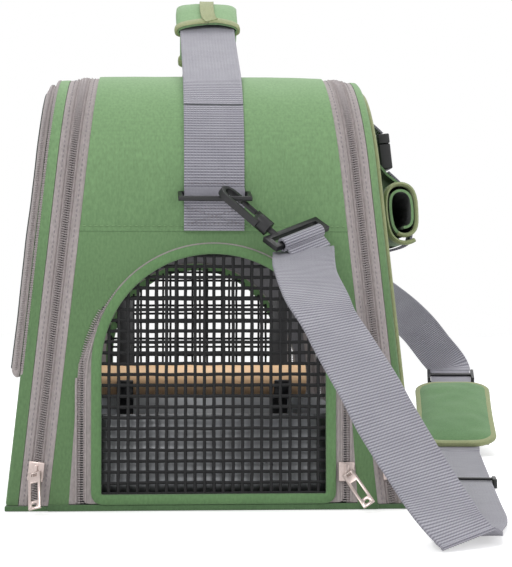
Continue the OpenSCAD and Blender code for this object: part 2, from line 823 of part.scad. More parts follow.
base_panel();
base_board();
end_panel();  // near_end_panel
far_side() end_panel();  // far_end_panel
roof_panel();
door_rim();  // near_door_rim
door_net();  // near_door_net
zip_tape();  // near_zip_tape
at_window_zip() slider_body();  // near_slider
at_window_zip() pull_tab(32, 40);  // near_pull
far_side() door_rim();  // far_door_rim
far_side() door_net();  // far_door_net
far_side() zip_tape();  // far_zip_tape
far_side() at_window_zip() slider_body();  // far_slider
far_side() at_window_zip() pull_tab(32, 40);  // far_pull
above_base() left_side() inner_zip();  // left_zip_inner
above_base() left_side() outer_zip();  // left_zip_outer
above_base() left_side() side_frame(left_face);  // left_door_frame
left_door_net();
left_side() at_main_zip() slider_body();  // left_slider
left_side() at_main_zip() pull_tab(-20, 40);  // left_pull
left_cover();
cover_zip_tape();
cover_slider_place() slider_body();  // cover_slider
cover_slider_place() pull_tab(0, 30);  // cover_pull
above_base() right_side() inner_zip();  // right_zip_inner
above_base() right_side() outer_zip();  // right_zip_outer
above_base() right_side() side_frame(right_face);  // right_door_frame
right_door_net();
right_piping();
right_side() at_main_zip() slider_body();  // right_slider
right_side() at_main_zip() pull_tab(33, 40);  // right_pull
rolled_cover();
roll_straps();
buckle_sockets();
buckle_plug(-buckle_place);  // near_buckle_plug
buckle_plug(buckle_place);  // far_buckle_plug
tray();
tray_sides();
stand_foot();
perch_posts();
perch();
handle_anchors();
handle_strap();
grip_wrap();
ring();  // near_ring
far_side() ring();  // far_ring
hook();  // near_hook
far_side() hook();  // far_hook
gate();  // near_gate
far_side() gate();  // far_gate
swivel();  // near_swivel
far_side() swivel();  // far_swivel
strap_near();
strap_floor();
strap_far();
shoulder_pad();
pad_backing();
floor_adjuster();
far_adjuster();
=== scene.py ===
# %% [markdown]
# A soft travel carrier for a small bird, dressed for a studio picture.
# OpenSCAD already gives every piece its size and place, so this script loads those solids as a frame
# that never moves. Hard parts keep their shape and get rounded edges and a finish. Cloth, webbing, nets
# and zips are made again here, thinner and softer than a solid can be, in the same places.

# %% Load the frame
import json
import math

import bmesh
import bpy
import numpy as np
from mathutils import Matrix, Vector, noise

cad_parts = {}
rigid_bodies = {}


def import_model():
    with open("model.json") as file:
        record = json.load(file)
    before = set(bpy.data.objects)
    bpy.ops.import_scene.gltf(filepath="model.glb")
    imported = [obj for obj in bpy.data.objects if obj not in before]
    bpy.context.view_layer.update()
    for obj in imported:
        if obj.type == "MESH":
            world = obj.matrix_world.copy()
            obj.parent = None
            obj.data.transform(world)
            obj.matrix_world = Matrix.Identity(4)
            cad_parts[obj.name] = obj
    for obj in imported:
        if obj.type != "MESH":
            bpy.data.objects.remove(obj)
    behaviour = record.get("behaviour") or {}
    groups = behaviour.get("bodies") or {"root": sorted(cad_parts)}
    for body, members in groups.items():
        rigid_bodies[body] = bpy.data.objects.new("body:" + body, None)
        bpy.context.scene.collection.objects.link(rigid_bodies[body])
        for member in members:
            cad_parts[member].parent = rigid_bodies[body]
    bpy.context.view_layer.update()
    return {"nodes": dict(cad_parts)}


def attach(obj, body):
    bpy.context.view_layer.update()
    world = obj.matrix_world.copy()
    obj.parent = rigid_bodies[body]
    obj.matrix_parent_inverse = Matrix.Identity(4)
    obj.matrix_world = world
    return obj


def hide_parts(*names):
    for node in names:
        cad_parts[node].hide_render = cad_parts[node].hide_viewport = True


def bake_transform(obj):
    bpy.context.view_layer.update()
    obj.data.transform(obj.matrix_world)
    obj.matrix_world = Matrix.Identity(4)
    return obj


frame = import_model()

# %% [markdown]
# The camera comes first, because every later choice is judged through it. The photograph is taken from in
# front of one end of the bag with a long lens, a little below the middle of the bag, so upright edges stay
# upright and the far end looks only slightly smaller. The lens is given for a 36 mm sensor on the long side.

# %% Camera
FOCAL_PIXELS, PHOTO_PIXELS, SENSOR_MM = 1746, 567, 36
LOOK_UP, LOOK_RIGHT = 1.07, 3.64


def in_scene(name, data):
    """Makes an object from a camera, a lamp or a mesh and puts it in the scene."""
    made = bpy.data.objects.new(name, data)
    bpy.context.scene.collection.objects.link(made)
    return made


camera_data = bpy.data.cameras.new("studio_camera")
camera_data.sensor_width = SENSOR_MM
camera_data.lens = FOCAL_PIXELS / PHOTO_PIXELS * SENSOR_MM
camera = in_scene("studio_camera", camera_data)
camera.location = (-0.0435, -1.300, 0.122)
camera.rotation_euler = (math.radians(90 + LOOK_UP), 0, math.radians(-LOOK_RIGHT))
bpy.context.scene.camera = camera
print("lens", round(camera_data.lens, 1))

# %% [markdown]
# Every finish below is a small tree of shader nodes, so a few helpers come first. One adds a node and gives
# each of its inputs either a value or a link from another node. The others are short names for the nodes
# that come up most: a sum, a mix of two colours and a bump.

# %% Node helpers
def fill(tree, target, inputs):
    """Gives a node's inputs, by name or number, a value or a link from another node's output."""
    for name, value in inputs.items():
        if isinstance(value, bpy.types.NodeSocket):
            tree.links.new(value, target.inputs[name])
        else:
            target.inputs[name].default_value = value


def node(tree, kind, inputs=None, **settings):
    made = tree.nodes.new(kind)
    for name, value in settings.items():
        setattr(made, name, value)
    fill(tree, made, inputs or {})
    return made


def maths(tree, kind, a, b=0.5, c=0.5):
    return node(tree, "ShaderNodeMath", {0: a, 1: b, 2: c}, operation=kind).outputs[0]


def blend_colour(tree, factor, a, b, mode="MIX"):
    """Inputs 6 and 7 and output 2 are the colour sockets of a mix node."""
    return node(tree, "ShaderNodeMix", {0: factor, 6: a, 7: b}, data_type="RGBA", blend_type=mode).outputs[2]


def dented(tree, height, strength, depth):
    bump = node(tree, "ShaderNodeBump", {"Strength": strength, "Distance": depth, "Height": height})
    return bump.outputs[0]


def object_place(tree):
    return node(tree, "ShaderNodeTexCoord").outputs["Object"]


def principled(name):
    material = bpy.data.materials.new(name)
    material.use_nodes = True
    return material, material.node_tree, material.node_tree.nodes["Principled BSDF"]


print("node helpers ready")

# %% [markdown]
# The floor is white paper. It has to look white without flooding the cloth with light, so its shader adds a
# little glow for camera rays only. Where the bag blocks the lamps the floor still turns grey, which keeps
# the contact shadow. The world is white for the same kinds of ray and a calm grey for everything else.

# %% Floor and world
FLOOR_HALF, FLOOR_LEVEL, PAPER_GLOW = 9.0, -0.0004, 0.52
WHITE = (1, 1, 1, 1)

floor_material, tree, shader = principled("studio_paper")
rays = node(tree, "ShaderNodeLightPath").outputs
looked_at = maths(tree, "MAXIMUM", rays["Is Camera Ray"], rays["Is Glossy Ray"])
fill(tree, shader, {"Base Color": (0.88, 0.88, 0.88, 1), "Roughness": 0.9, "Emission Color": WHITE,
                    "Emission Strength": maths(tree, "MULTIPLY", looked_at, PAPER_GLOW)})

paper_mesh = bpy.data.meshes.new("studio_floor")
paper_mesh.from_pydata([(x * FLOOR_HALF, y * FLOOR_HALF, FLOOR_LEVEL)
                        for x, y in ((-1, -1), (1, -1), (1, 1), (-1, 1))], [], [(0, 1, 2, 3)])
paper_mesh.materials.append(floor_material)
paper = in_scene("studio_floor", paper_mesh)

world = bpy.data.worlds.new("studio_world")
bpy.context.scene.world = world
world.use_nodes = True
tree = world.node_tree
plain = tree.nodes["Background"]
fill(tree, plain, {"Color": (0.97, 0.985, 1, 1), "Strength": 0.5})
bright = node(tree, "ShaderNodeBackground", {"Color": WHITE, "Strength": 1})
rays = node(tree, "ShaderNodeLightPath").outputs
looked_at = maths(tree, "MAXIMUM", rays["Is Camera Ray"], rays["Is Glossy Ray"])
looked_at = maths(tree, "MAXIMUM", looked_at, rays["Is Transmission Ray"])
mix = node(tree, "ShaderNodeMixShader", {0: looked_at, 1: plain.outputs[0], 2: bright.outputs[0]})
fill(tree, tree.nodes["World Output"], {"Surface": mix.outputs[0]})
bpy.context.scene.view_settings.view_transform = "Standard"
print("floor and world ready")


# %% [markdown]
# Three big area lamps stand round the bag: one high in front on the left, a weaker one on the right, and one
# overhead behind. Big lamps give the soft, even light that a catalogue picture has. A small weak lamp inside
# the bag keeps the perch and the tray in sight behind the net.

# %% Lamps
def lamp(name, place, aim, size, power):
    data = bpy.data.lights.new(name, "AREA")
    data.shape, data.size, data.energy = "DISK", size, power
    lamp_object = in_scene(name, data)
    lamp_object.location = place
    lamp_object.rotation_euler = (Vector(aim) - Vector(place)).to_track_quat("-Z", "Y").to_euler()


lamp("key_lamp", (-0.9, -1.7, 1.5), (0, 0, 0.15), 0.9, 17)
lamp("fill_lamp", (1.5, -1.2, 0.9), (0.05, 0, 0.12), 1.0, 8)
lamp("top_lamp", (0.2, 0.7, 1.7), (0, 0, 0.15), 1.2, 15)
lamp("inside_lamp", (0, -0.08, 0.24), (0, 0.02, 0.05), 0.14, 0.35)
print("lamps", len(bpy.data.lights))


# %% [markdown]
# Sizes. These are the same numbers that the solids are made from, in millimetres: half of the bag's length,
# its height, the radius of its rounded roof, how far each side leans in, and how far the zips and doors
# stand out.

# %% Sizes in millimetres
MM = 0.001
LONG, HIGH, ROOF = 200.0, 280.0, 65.0
HALF_BASE, HALF_TOP = 104.0, 73.0
LEAN = math.atan((HALF_BASE - HALF_TOP) / HIGH)
LEAN_COS, LEAN_SIN = math.cos(LEAN), math.sin(LEAN)
SLANT = HIGH / LEAN_COS
FLARE = 0.2
ZIP_BAND, LEFT_FACE, RIGHT_FACE = 19.0, 27.0, 24.0
SIDE_BOTTOM, DOOR_BOTTOM, SEAM = 3.3, 4.3, 175.6
ARCH, ZIP_LINE, FLAP_RADIUS = 90.5, 83.5, 77.6
SILL = 78.0
OPENING = ((4, 91), (92, 85), (128, 70))  # heights up an end wall, and half of the door opening's width there
CIRCLE = 2 * math.pi
ENDS = ((-1, "near"), (1, "far"))


def unit(v):
    v = np.asarray(v, float)
    return v / np.linalg.norm(v)


def side_point(side, u, v, w):
    """A point on a leaning side: u along the bag, v up the slope, w outward. side is 1 right, -1 left."""
    return np.array([side * (HALF_BASE + w * LEAN_COS - v * LEAN_SIN), u, w * LEAN_SIN + v * LEAN_COS])


def side_turn(side, u, v, w):
    """A direction in a side's own axes, turned into the bag's axes."""
    return np.array([side * (w * LEAN_COS - v * LEAN_SIN), u, w * LEAN_SIN + v * LEAN_COS])


def half_width(z):
    return HALF_BASE - (HALF_BASE - HALF_TOP) * z / HIGH


def hoop_path(inset, top, bottom, step):
    """Points (along, up) and outward directions round a hoop, from the near foot over the top."""
    long, top, radius = LONG - inset, top - inset, ROOF - inset
    legs = top - radius
    count = max(2, round((legs - bottom) / step))
    path = [(-long, bottom + (legs - bottom) * i / count, -1, 0) for i in range(count)]
    count = max(6, round(radius * math.pi / 2 / step))
    for i in range(count):
        a = math.pi / 2 * i / count
        c, s = math.cos(a), math.sin(a)
        path.append((radius - long - radius * c, legs + radius * s, -c, s))
    half = long - radius
    count = max(2, round(2 * half / step))
    rest = [(-half + 2 * half * i / count, top, 0, 1) for i in range(count)]
    mirror = [(-u, v, -nu, nv) for u, v, nu, nv in reversed(path)]
    return np.array(path + rest + [(half, top, 0, 1)] + mirror)


print("slant height", round(SLANT, 2))

# %% [markdown]
# Every colour below is written as it looks on screen, from 0 to 255, and turned into the linear numbers that
# the renderer works with. The two node groups after it are shared by many cloths: one draws a fine weave
# from sine waves along all three axes, so it needs no unwrapping, and one adds the slow changes of shade,
# dust and rubbed edges that stop a cloth from looking like paint.

# %% Colour and shared shader groups
def colour(r, g, b):
    def linear(c):
        c /= 255
        return c / 12.92 if c <= 0.04045 else ((c + 0.055) / 1.055) ** 2.4
    return (linear(r), linear(g), linear(b), 1)


def group(name, kind, inputs, outputs):
    """A node group, empty but for its ways in and out. Inputs are (name, socket type, default value)."""
    tree = bpy.data.node_groups.new(name, kind)
    for label, socket_type, default in inputs:
        socket = tree.interface.new_socket(label, in_out="INPUT", socket_type=f"NodeSocket{socket_type}")
        if default is not None:
            socket.default_value = default
    for label, socket_type in outputs:
        tree.interface.new_socket(label, in_out="OUTPUT", socket_type=f"NodeSocket{socket_type}")
    return tree, tree.nodes.new("NodeGroupInput").outputs, tree.nodes.new("NodeGroupOutput")


weave_group, given, result = group("woven_threads", "ShaderNodeTree",
                                   [("Place", "Vector", (0, 0, 0)), ("Threads per metre", "Float", 1500)],
                                   [("Height", "Float")])
split = node(weave_group, "ShaderNodeSeparateXYZ", {0: given["Place"]}).outputs
turns = maths(weave_group, "MULTIPLY", given["Threads per metre"], CIRCLE)
waves = [maths(weave_group, "SINE", maths(weave_group, "MULTIPLY", split[i], turns)) for i in range(3)]
total = maths(weave_group, "ADD", maths(weave_group, "ADD", waves[0], waves[1]), waves[2])
fill(weave_group, result, {"Height": maths(weave_group, "MULTIPLY_ADD", total, 0.2)})

shade_group, given, result = group(
    "worn_shade", "ShaderNodeTree",
    [("Place", "Vector", (0, 0, 0)), ("Main", "Color", (0.5, 0.5, 0.5, 1)),
     ("Second", "Color", (0.4, 0.4, 0.4, 1)), ("Patch size", "Float", 14), ("Amount", "Float", 0.5)],
    [("Color", "Color")])
cloud = node(shade_group, "ShaderNodeTexNoise",
             {"Detail": 4, "Vector": given["Place"], "Scale": given["Patch size"]}).outputs["Fac"]
mask = maths(shade_group, "MULTIPLY", cloud, given["Amount"])
fill(shade_group, result, {"Color": blend_colour(shade_group, mask, given["Main"], given["Second"])})
print("groups", [g.name for g in bpy.data.node_groups])


# %% [markdown]
# One recipe makes all the plain cloths. The weave drives a small bump and also darkens its own hollows, a
# painted shade between the threads. The slow shade drives the colour, and a light sheen stands for the fuzz
# that polyester cloth shows at its edges. Slubs are the uneven, darker stretches of thread, so their noise is
# squeezed upright. A cloth can also be given painted shade low down and painted light near its top, as from
# lamps above. Only the numbers differ from cloth to cloth.

# %% Cloth finishes
SLUB_COLOUR, SLUB_SIZE, SLUB_AMOUNT, SLUB_STRETCH = (0.012, 0.035, 0.012, 1), 760.0, 0.5, (1.0, 1.0, 0.45)


def shaded(tree, place, main, second, patch, amount):
    return node(tree, "ShaderNodeGroup", {"Place": place, "Main": main, "Second": second, "Patch size": patch,
                                          "Amount": amount}, node_tree=shade_group).outputs["Color"]


def squeezed(tree, place, scale):
    return node(tree, "ShaderNodeMapping", {"Scale": scale, 0: place}).outputs[0]


def cloth(name, main, second, threads=1500, bump=0.25, patch=12, amount=0.7, rough=0.85, creases=0.0,
          painted_height_light=None):
    """painted_height_light is (lowest height, highest height, colour factor there, colour factor up here):
    painted shade low, painted light high.
    """
    material, tree, shader = principled(name)
    place = object_place(tree)
    height = node(tree, "ShaderNodeGroup", {"Place": place, "Threads per metre": threads},
                  node_tree=weave_group).outputs["Height"]
    # Painted shade: the weave's hollows are made darker than the tops of the threads.
    weave_gap_shade = blend_colour(tree, maths(tree, "MULTIPLY_ADD", height, 0.5), (0.86, 0.86, 0.86, 1), WHITE)
    tint = shaded(tree, squeezed(tree, place, SLUB_STRETCH), shaded(tree, place, main, second, patch, amount),
                  SLUB_COLOUR, SLUB_SIZE, SLUB_AMOUNT)
    # Painted shade and light: the colour is darker low down and much lighter near the top, as lamps above would
    # light it.
    if painted_height_light:
        low, high, dark, top_light = painted_height_light
        up = node(tree, "ShaderNodeSeparateXYZ", {0: place}).outputs[2]
        ramp = node(tree, "ShaderNodeMapRange", {"From Min": low, "From Max": high, "Value": up}).outputs[0]
        tint = blend_colour(tree, 1.0, tint, blend_colour(tree, ramp, dark, top_light), "MULTIPLY")
    if creases:
        fold = node(tree, "ShaderNodeTexNoise", {"Scale": 22, "Detail": 3, "Vector": place})
        height = maths(tree, "ADD", height, maths(tree, "MULTIPLY", fold.outputs["Fac"], creases))
    fill(tree, shader, {"Base Color": blend_colour(tree, 1.0, tint, weave_gap_shade, "MULTIPLY"),
                        "Roughness": rough, "Sheen Weight": 0.15, "Sheen Roughness": 0.5,
                        "Normal": dented(tree, height, bump, 0.0002)})
    return material


# The green cloth gets painted shade low down and painted light near the roof.
green_cloth = cloth("green_oxford_cloth", colour(126, 164, 114), colour(106, 146, 98), 1100, 0.3, 9,
                    creases=5.0, painted_height_light=(0.14, 0.285, (0.84, 0.83, 0.80, 1), (1.62, 1.48, 1.6, 1)))
pad_cloth = cloth("pad_green_cloth", colour(128, 168, 116), colour(100, 144, 92), 1300, 0.3, 26, 0.9)
trim_cloth = cloth("rim_green_cloth", colour(122, 162, 108), colour(98, 138, 88), 1700, 0.35, 30)
olive_cloth = cloth("olive_binding_tape", colour(184, 190, 142), colour(158, 166, 116), 1500, 0.4, 30)
tape_cloth = cloth("zip_tape_cloth", colour(200, 188, 188), colour(176, 164, 165), 1800, 0.4, 40)
black_cloth = cloth("black_mesh_cloth", colour(34, 34, 38), colour(22, 22, 26), 700, 0.6, 30, 0.6, rough=0.7)
base_cloth = cloth("base_cloth", colour(96, 130, 86), colour(74, 104, 68), 1000, 0.4, 20)
grey_cloth = cloth("grey_lining", colour(142, 138, 144), colour(122, 118, 126), 1300, 0.35, 24, 0.6)
print("cloths", len([m for m in bpy.data.materials if "cloth" in m.name]))


# %% [markdown]
# Webbing is woven in narrow looms, with ribs right across its width and a firm edge at each side. Its ribs
# must follow the strap round every bend, so this finish reads the strap's own UV map, which holds real
# metres: across the strap in U and along it in V.

# %% Webbing, metal, plastic, wood and net finishes
def webbing_finish(name, main, second, rib, grain):
    """rib and grain are threads per metre, along the strap and across it."""
    material, tree, shader = principled(name)
    chart = node(tree, "ShaderNodeUVMap", uv_map="strap_map").outputs[0]
    across, along, _ = node(tree, "ShaderNodeSeparateXYZ", {0: chart}).outputs
    ribs = maths(tree, "SINE", maths(tree, "MULTIPLY", along, rib * CIRCLE))
    ends = maths(tree, "SINE", maths(tree, "MULTIPLY", across, grain * CIRCLE))
    weave = maths(tree, "MULTIPLY_ADD", maths(tree, "MULTIPLY", ribs, ends), 0.5)
    pattern = maths(tree, "MULTIPLY_ADD", maths(tree, "ADD", weave, ribs), 0.5, 0.2)
    # Painted shade and highlight: the colour follows the ribs' height, darker in the hollows between them and
    # lighter on their tops.
    dark = blend_colour(tree, pattern, (0.42, 0.42, 0.46, 1), (1.3, 1.3, 1.3, 1))
    shade = shaded(tree, object_place(tree), main, second, 60.0, 0.8)
    height = maths(tree, "ADD", ribs, weave)
    fill(tree, shader, {"Base Color": blend_colour(tree, 0.9, shade, dark, "MULTIPLY"), "Roughness": 0.62,
                        "Sheen Weight": 0.1, "Normal": dented(tree, height, 0.6, 0.0004)})
    return material


def hard(name, main, second, rough, metallic=0.0, scale=180, bump=0.08, stretch=(1, 1, 1)):
    """A smooth finish with fine grain. scale is how fine the grain is, stretch draws it out along an axis."""
    material, tree, shader = principled(name)
    place = squeezed(tree, object_place(tree), stretch)
    grain = node(tree, "ShaderNodeTexNoise", {"Scale": scale, "Detail": 5, "Vector": place}).outputs["Fac"]
    fill(tree, shader, {"Base Color": blend_colour(tree, grain, main, second), "Metallic": metallic,
                        "Roughness": maths(tree, "MULTIPLY_ADD", grain, 0.2, rough - 0.1),
                        "Normal": dented(tree, grain, bump, 0.0003)})
    return material


lilac_webbing = webbing_finish("lilac_grey_webbing", colour(170, 168, 176), colour(144, 142, 152), 560, 480)
dark_webbing = webbing_finish("dark_grey_webbing", colour(136, 132, 142), colour(112, 108, 118), 640, 420)
nickel = hard("brushed_nickel", colour(206, 190, 184), colour(182, 168, 164), 0.34, 1.0, 900)
steel = hard("tray_steel", colour(160, 161, 163), colour(118, 120, 124), 0.32, 1.0, 60, 0.12, (0.25, 4, 4))
black_plastic = hard("black_acetal", colour(24, 24, 27), colour(12, 12, 14), 0.42, 0.0, 700, 0.15)
perch_wood = hard("turned_beech", colour(236, 200, 160), colour(206, 166, 126), 0.55, 0.0, 90, 0.3,
                  (0.12, 1, 1))
net_cord = hard("black_net_cord", colour(20, 20, 22), colour(10, 10, 12), 0.8, 0.0, 1200, 0.2)
coil_plastic = hard("zip_coil_nylon", colour(196, 188, 188), colour(158, 150, 150), 0.35, 0.0, 800, 0.1)
thread = hard("green_thread", colour(140, 174, 124), colour(118, 150, 104), 0.7, 0.0, 1500, 0.2)
grey_thread = hard("grey_thread", colour(152, 146, 150), colour(128, 122, 128), 0.7, 0.0, 1500, 0.2)
board_grey = hard("base_board_grey", colour(96, 96, 98), colour(80, 80, 84), 0.7, 0.0, 300, 0.2)
print("finishes", len(bpy.data.materials))


# %% [markdown]
# Small helpers finish every piece the same way. One turns points in millimetres into a mesh in metres. One
# applies all live modifiers, so that the piece is plain mesh. Two hand the piece to the frame: one puts it on
# the body that carries it, and both hide the solid it stands for.

# %% Piece helpers
def mesh_of(name, points, faces, materials, chart=None):
    """A new mesh object. chart gives every point its place (across, along) on a strap."""
    mesh = bpy.data.meshes.new(name)
    mesh.from_pydata((np.asarray(points, float).reshape(-1, 3) * MM).tolist(), [], faces)
    for material in materials:
        mesh.materials.append(material)
    if chart is not None:
        layer = mesh.uv_layers.new(name="strap_map")
        flat = np.asarray(chart, float) * MM
        order = np.zeros(len(mesh.loops), int)
        mesh.loops.foreach_get("vertex_index", order)
        layer.data.foreach_set("uv", flat[order].ravel())
    mesh.validate()
    return in_scene(name, mesh)


def settle(piece, sharp=40):
    bpy.context.view_layer.update()
    graph = bpy.context.evaluated_depsgraph_get()
    mesh = bpy.data.meshes.new_from_object(piece.evaluated_get(graph), preserve_all_data_layers=True,
                                           depsgraph=graph)
    mesh.name = piece.name
    piece.modifiers.clear()
    piece.data = mesh
    mesh.shade_smooth()
    mesh.set_sharp_from_angle(angle=math.radians(sharp))
    return piece


def belongs(piece, body, slot, *nodes):
    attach(piece, body)
    if nodes:
        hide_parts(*nodes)
    print(piece.name, "on", body, len(piece.data.polygons), "faces")
    return piece


def bends(piece, a, b, start, end, slot, *nodes):
    """Cloth that crosses a joint: its place is baked into its points. a, b, start, end and slot are not used."""
    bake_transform(piece)
    if nodes:
        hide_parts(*nodes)
    print(piece.name, "bends between", a, "and", b)
    return piece


def thicken(piece, thick, offset=-1.0, inner=0):
    """Adds thickness. offset -1 adds it inwards, 0 both ways; inner is the material step of the inside."""
    skin = piece.modifiers.new("thickness", "SOLIDIFY")
    skin.thickness = thick * MM
    skin.offset = offset
    skin.material_offset = inner
    return piece


def grid_faces(rows, columns, round_rows=False, round_columns=False):
    last_row = rows if round_rows else rows - 1
    last_column = columns if round_columns else columns - 1
    return [(r * columns + c, r * columns + (c + 1) % columns, (r + 1) % rows * columns + (c + 1) % columns,
             (r + 1) % rows * columns + c) for r in range(last_row) for c in range(last_column)]


def tube_caps(rows, around):
    """The two end faces of an open tube made by grid_faces."""
    last = (rows - 1) * around
    return [tuple(range(around)), tuple(reversed(range(last, last + around)))]


def ripple(point, size, height, seed=0.0):
    """A smooth, repeatable bump for cloth, from noise at one size."""
    return height * noise.noise(Vector((point[0] / size + seed, point[1] / size - seed, point[2] / size)))


def ease(t):
    t = min(max(t, 0.0), 1.0)
    return t * t * (3 - 2 * t)


def between(a, b, t):
    return a * (1 - t) + b * t


def put_right(piece, merge=True):
    """Merges doubles unless told not to, then turns every face outwards."""
    work = bmesh.new()
    work.from_mesh(piece.data)
    if merge:
        bmesh.ops.remove_doubles(work, verts=work.verts, dist=0.00002)
    bmesh.ops.recalc_face_normals(work, faces=work.faces)
    work.to_mesh(piece.data)
    work.free()
    return piece


print("piece helpers ready")

# %% [markdown]
# The bag's shell is one long piece of padded cloth: up one end, over the rounded roof and down the other end.
# It follows a rule, so its points come straight from that rule, a row every few millimetres. Small ripples
# from noise make it look stuffed. The roof cloth laps over the end cloth at a seam, so it stands a little
# proud there. The door openings are cut afterwards with a boolean, because a cut edge is simplest that way.

# %% Bag shell
def shell_points():
    """Points of the hoop of cloth, a row for each place along it, and the numbers of rows and columns."""
    legs, columns = HIGH - ROOF, 45
    low = [3.0 + (SEAM - 4 - 3.0) * i / 42 for i in range(43)] + [SEAM - 1.2, SEAM - 0.5, SEAM, SEAM + 1.5]
    high = [SEAM + 4 + (legs - SEAM - 4) * i / 9 for i in range(10)]
    path = [(-LONG, z, -1, 0) for z in low + high]
    for i in range(1, 25):
        a = math.pi / 2 * i / 25
        path.append((ROOF - LONG - ROOF * math.cos(a), legs + ROOF * math.sin(a), -math.cos(a), math.sin(a)))
    half = LONG - ROOF
    path += [(-half + 2 * half * i / 66, HIGH, 0, 1) for i in range(33)] + [(0.0, HIGH, 0, 1)]
    path += [(-y, z, -ny, nz) for y, z, ny, nz in reversed(path[:-1])]
    points = []
    for y, z, ny, nz in path:
        half_x = half_width(z)
        lap = 0.7 * ease((z - SEAM + 0.6) / 0.7)
        above, soft = (ease((z - SEAM) / 30), ease((z - SEAM - 6) / 12)) if z < legs else (1.0, 1.0)
        for c in range(columns):
            t = 2 * c / (columns - 1) - 1
            place = (t * half_x, y, z)
            bumps = (ripple(place, 42, 0.8) + ripple(place, 17, 0.3)) * (0.25 + 0.75 * soft)
            out = lap + 0.6 * 0.9 * (1 - t ** 6) * above + (1 - t ** 8) * bumps
            points.append((t * half_x, y + ny * out, z + nz * out))
    return np.array(points), len(path), columns


def opening_outline():
    """The door opening in an end, as (across, up) points."""
    start = math.asin((OPENING[-1][0] - ARCH) / FLAP_RADIUS)
    arc = [(-FLAP_RADIUS * math.cos(a), ARCH + FLAP_RADIUS * math.sin(a))
           for a in np.linspace(start, math.pi - start, 49)]
    legs = [(OPENING[0][1], 0)] + [(half, height) for height, half in OPENING]
    return [(-x, z) for x, z in legs] + arc + legs[::-1]


points, rows, columns = shell_points()
shell = put_right(mesh_of("bag_shell", points, grid_faces(rows, columns), [green_cloth, grey_cloth]))
thicken(shell, 2.8, inner=1)
if shell.data.polygons[len(shell.data.polygons) // 2].normal.z < 0:  # an open sheet may be turned inside out
    shell.data.flip_normals()
for end, _ in ENDS:
    outline = opening_outline()
    ring = [(x, end * (LONG + 12), z) for x, z in outline] + [(x, end * (LONG - 12), z) for x, z in outline]
    count = len(outline)
    sides = [(i, (i + 1) % count, count + (i + 1) % count, count + i) for i in range(count)]
    cutter = put_right(mesh_of("door_cutter", ring, sides + tube_caps(2, count), []))
    cut = shell.modifiers.new("opening", "BOOLEAN")
    cut.operation, cut.solver, cut.object = "DIFFERENCE", "EXACT", cutter
settle(shell)
for cutter in [o for o in bpy.data.objects if o.name.startswith("door_cutter")]:
    bpy.data.objects.remove(cutter)
belongs(shell, "bag", "green_fabric", "near_end_panel", "far_end_panel", "roof_panel")


# %% [markdown]
# Many details here are a small part repeated along a line: zip teeth, stitches, the wires of a net. They are
# made by two Geometry Nodes trees. The first walks along a line, sets a bead every few tenths of a
# millimetre and turns it by the direction that the line stores as "out". The second turns every line into a
# thin round cord. Both end in Realize Instances and Set Material, so the result is plain mesh.

# %% Geometry Nodes: rows of beads, and cords
def finished(tree, shape, given, result):
    """Ends a tree: makes its copies real and gives them the finish."""
    real = node(tree, "GeometryNodeRealizeInstances", {0: shape}).outputs[0]
    paint = node(tree, "GeometryNodeSetMaterial", {"Geometry": real, "Material": given["Finish"]})
    fill(tree, result, {0: paint.outputs[0]})


bead_tree, given, result = group(
    "row_of_beads", "GeometryNodeTree",
    [("Geometry", "Geometry", None), ("Spacing", "Float", None), ("Bead size", "Vector", None),
     ("Finish", "Material", None)], [("Geometry", "Geometry")])
curve = node(bead_tree, "GeometryNodeMeshToCurve", {0: given["Geometry"]}).outputs[0]
places = node(bead_tree, "GeometryNodeCurveToPoints", {"Curve": curve, "Length": given["Spacing"]},
              mode="LENGTH").outputs
out_way = node(bead_tree, "GeometryNodeInputNamedAttribute", {"Name": "out"},
               data_type="FLOAT_VECTOR").outputs["Attribute"]
turn = node(bead_tree, "FunctionNodeAxesToRotation", {0: out_way, 1: places["Tangent"]},
            primary_axis="Z", secondary_axis="X").outputs[0]
bead = node(bead_tree, "GeometryNodeMeshIcoSphere", {"Subdivisions": 1, "Radius": 0.5}).outputs["Mesh"]
copies = node(bead_tree, "GeometryNodeInstanceOnPoints", {"Points": places["Points"], "Instance": bead,
                                                          "Rotation": turn, "Scale": given["Bead size"]})
finished(bead_tree, copies.outputs[0], given, result)

cord_tree, given, result = group(
    "lines_to_cords", "GeometryNodeTree",
    [("Geometry", "Geometry", None), ("Cord radius", "Float", None), ("Sides", "Int", None),
     ("Finish", "Material", None)], [("Geometry", "Geometry")])
curve = node(cord_tree, "GeometryNodeMeshToCurve", {0: given["Geometry"]}).outputs[0]
circle = node(cord_tree, "GeometryNodeCurvePrimitiveCircle", {"Resolution": given["Sides"],
                                                              "Radius": given["Cord radius"]}).outputs[0]
tube = node(cord_tree, "GeometryNodeCurveToMesh",
            {"Fill Caps": True, "Curve": curve, "Profile Curve": circle})
finished(cord_tree, tube.outputs[0], given, result)


def grow(name, tree, lines, outs, values):
    """Runs a tree on lines of points in millimetres and returns the plain mesh object."""
    points, edges, ways = [], [], []
    for line, out in zip(lines, outs):
        base = len(points)
        points += [tuple(np.asarray(p, float) * MM) for p in line]
        ways += [tuple(o) for o in out]
        edges += [(base + i, base + i + 1) for i in range(len(line) - 1)]
    mesh = bpy.data.meshes.new(name)
    mesh.from_pydata(points, edges, [])
    attribute = mesh.attributes.new("out", "FLOAT_VECTOR", "POINT")
    attribute.data.foreach_set("vector", np.array(ways, np.float32).ravel())
    piece = in_scene(name, mesh)
    live = piece.modifiers.new("grow", "NODES")
    live.node_group = tree
    for item in tree.interface.items_tree:
        if item.in_out == "INPUT" and item.name in values:
            live[item.identifier] = values[item.name]
    return settle(piece, sharp=60)


def beads(name, lines, outs, spacing, size, finish):
    """size is (along the line, across it, outward), in millimetres."""
    return grow(name, bead_tree, lines, outs, {"Spacing": spacing * MM, "Bead size": [v * MM for v in size],
                                              "Finish": finish})


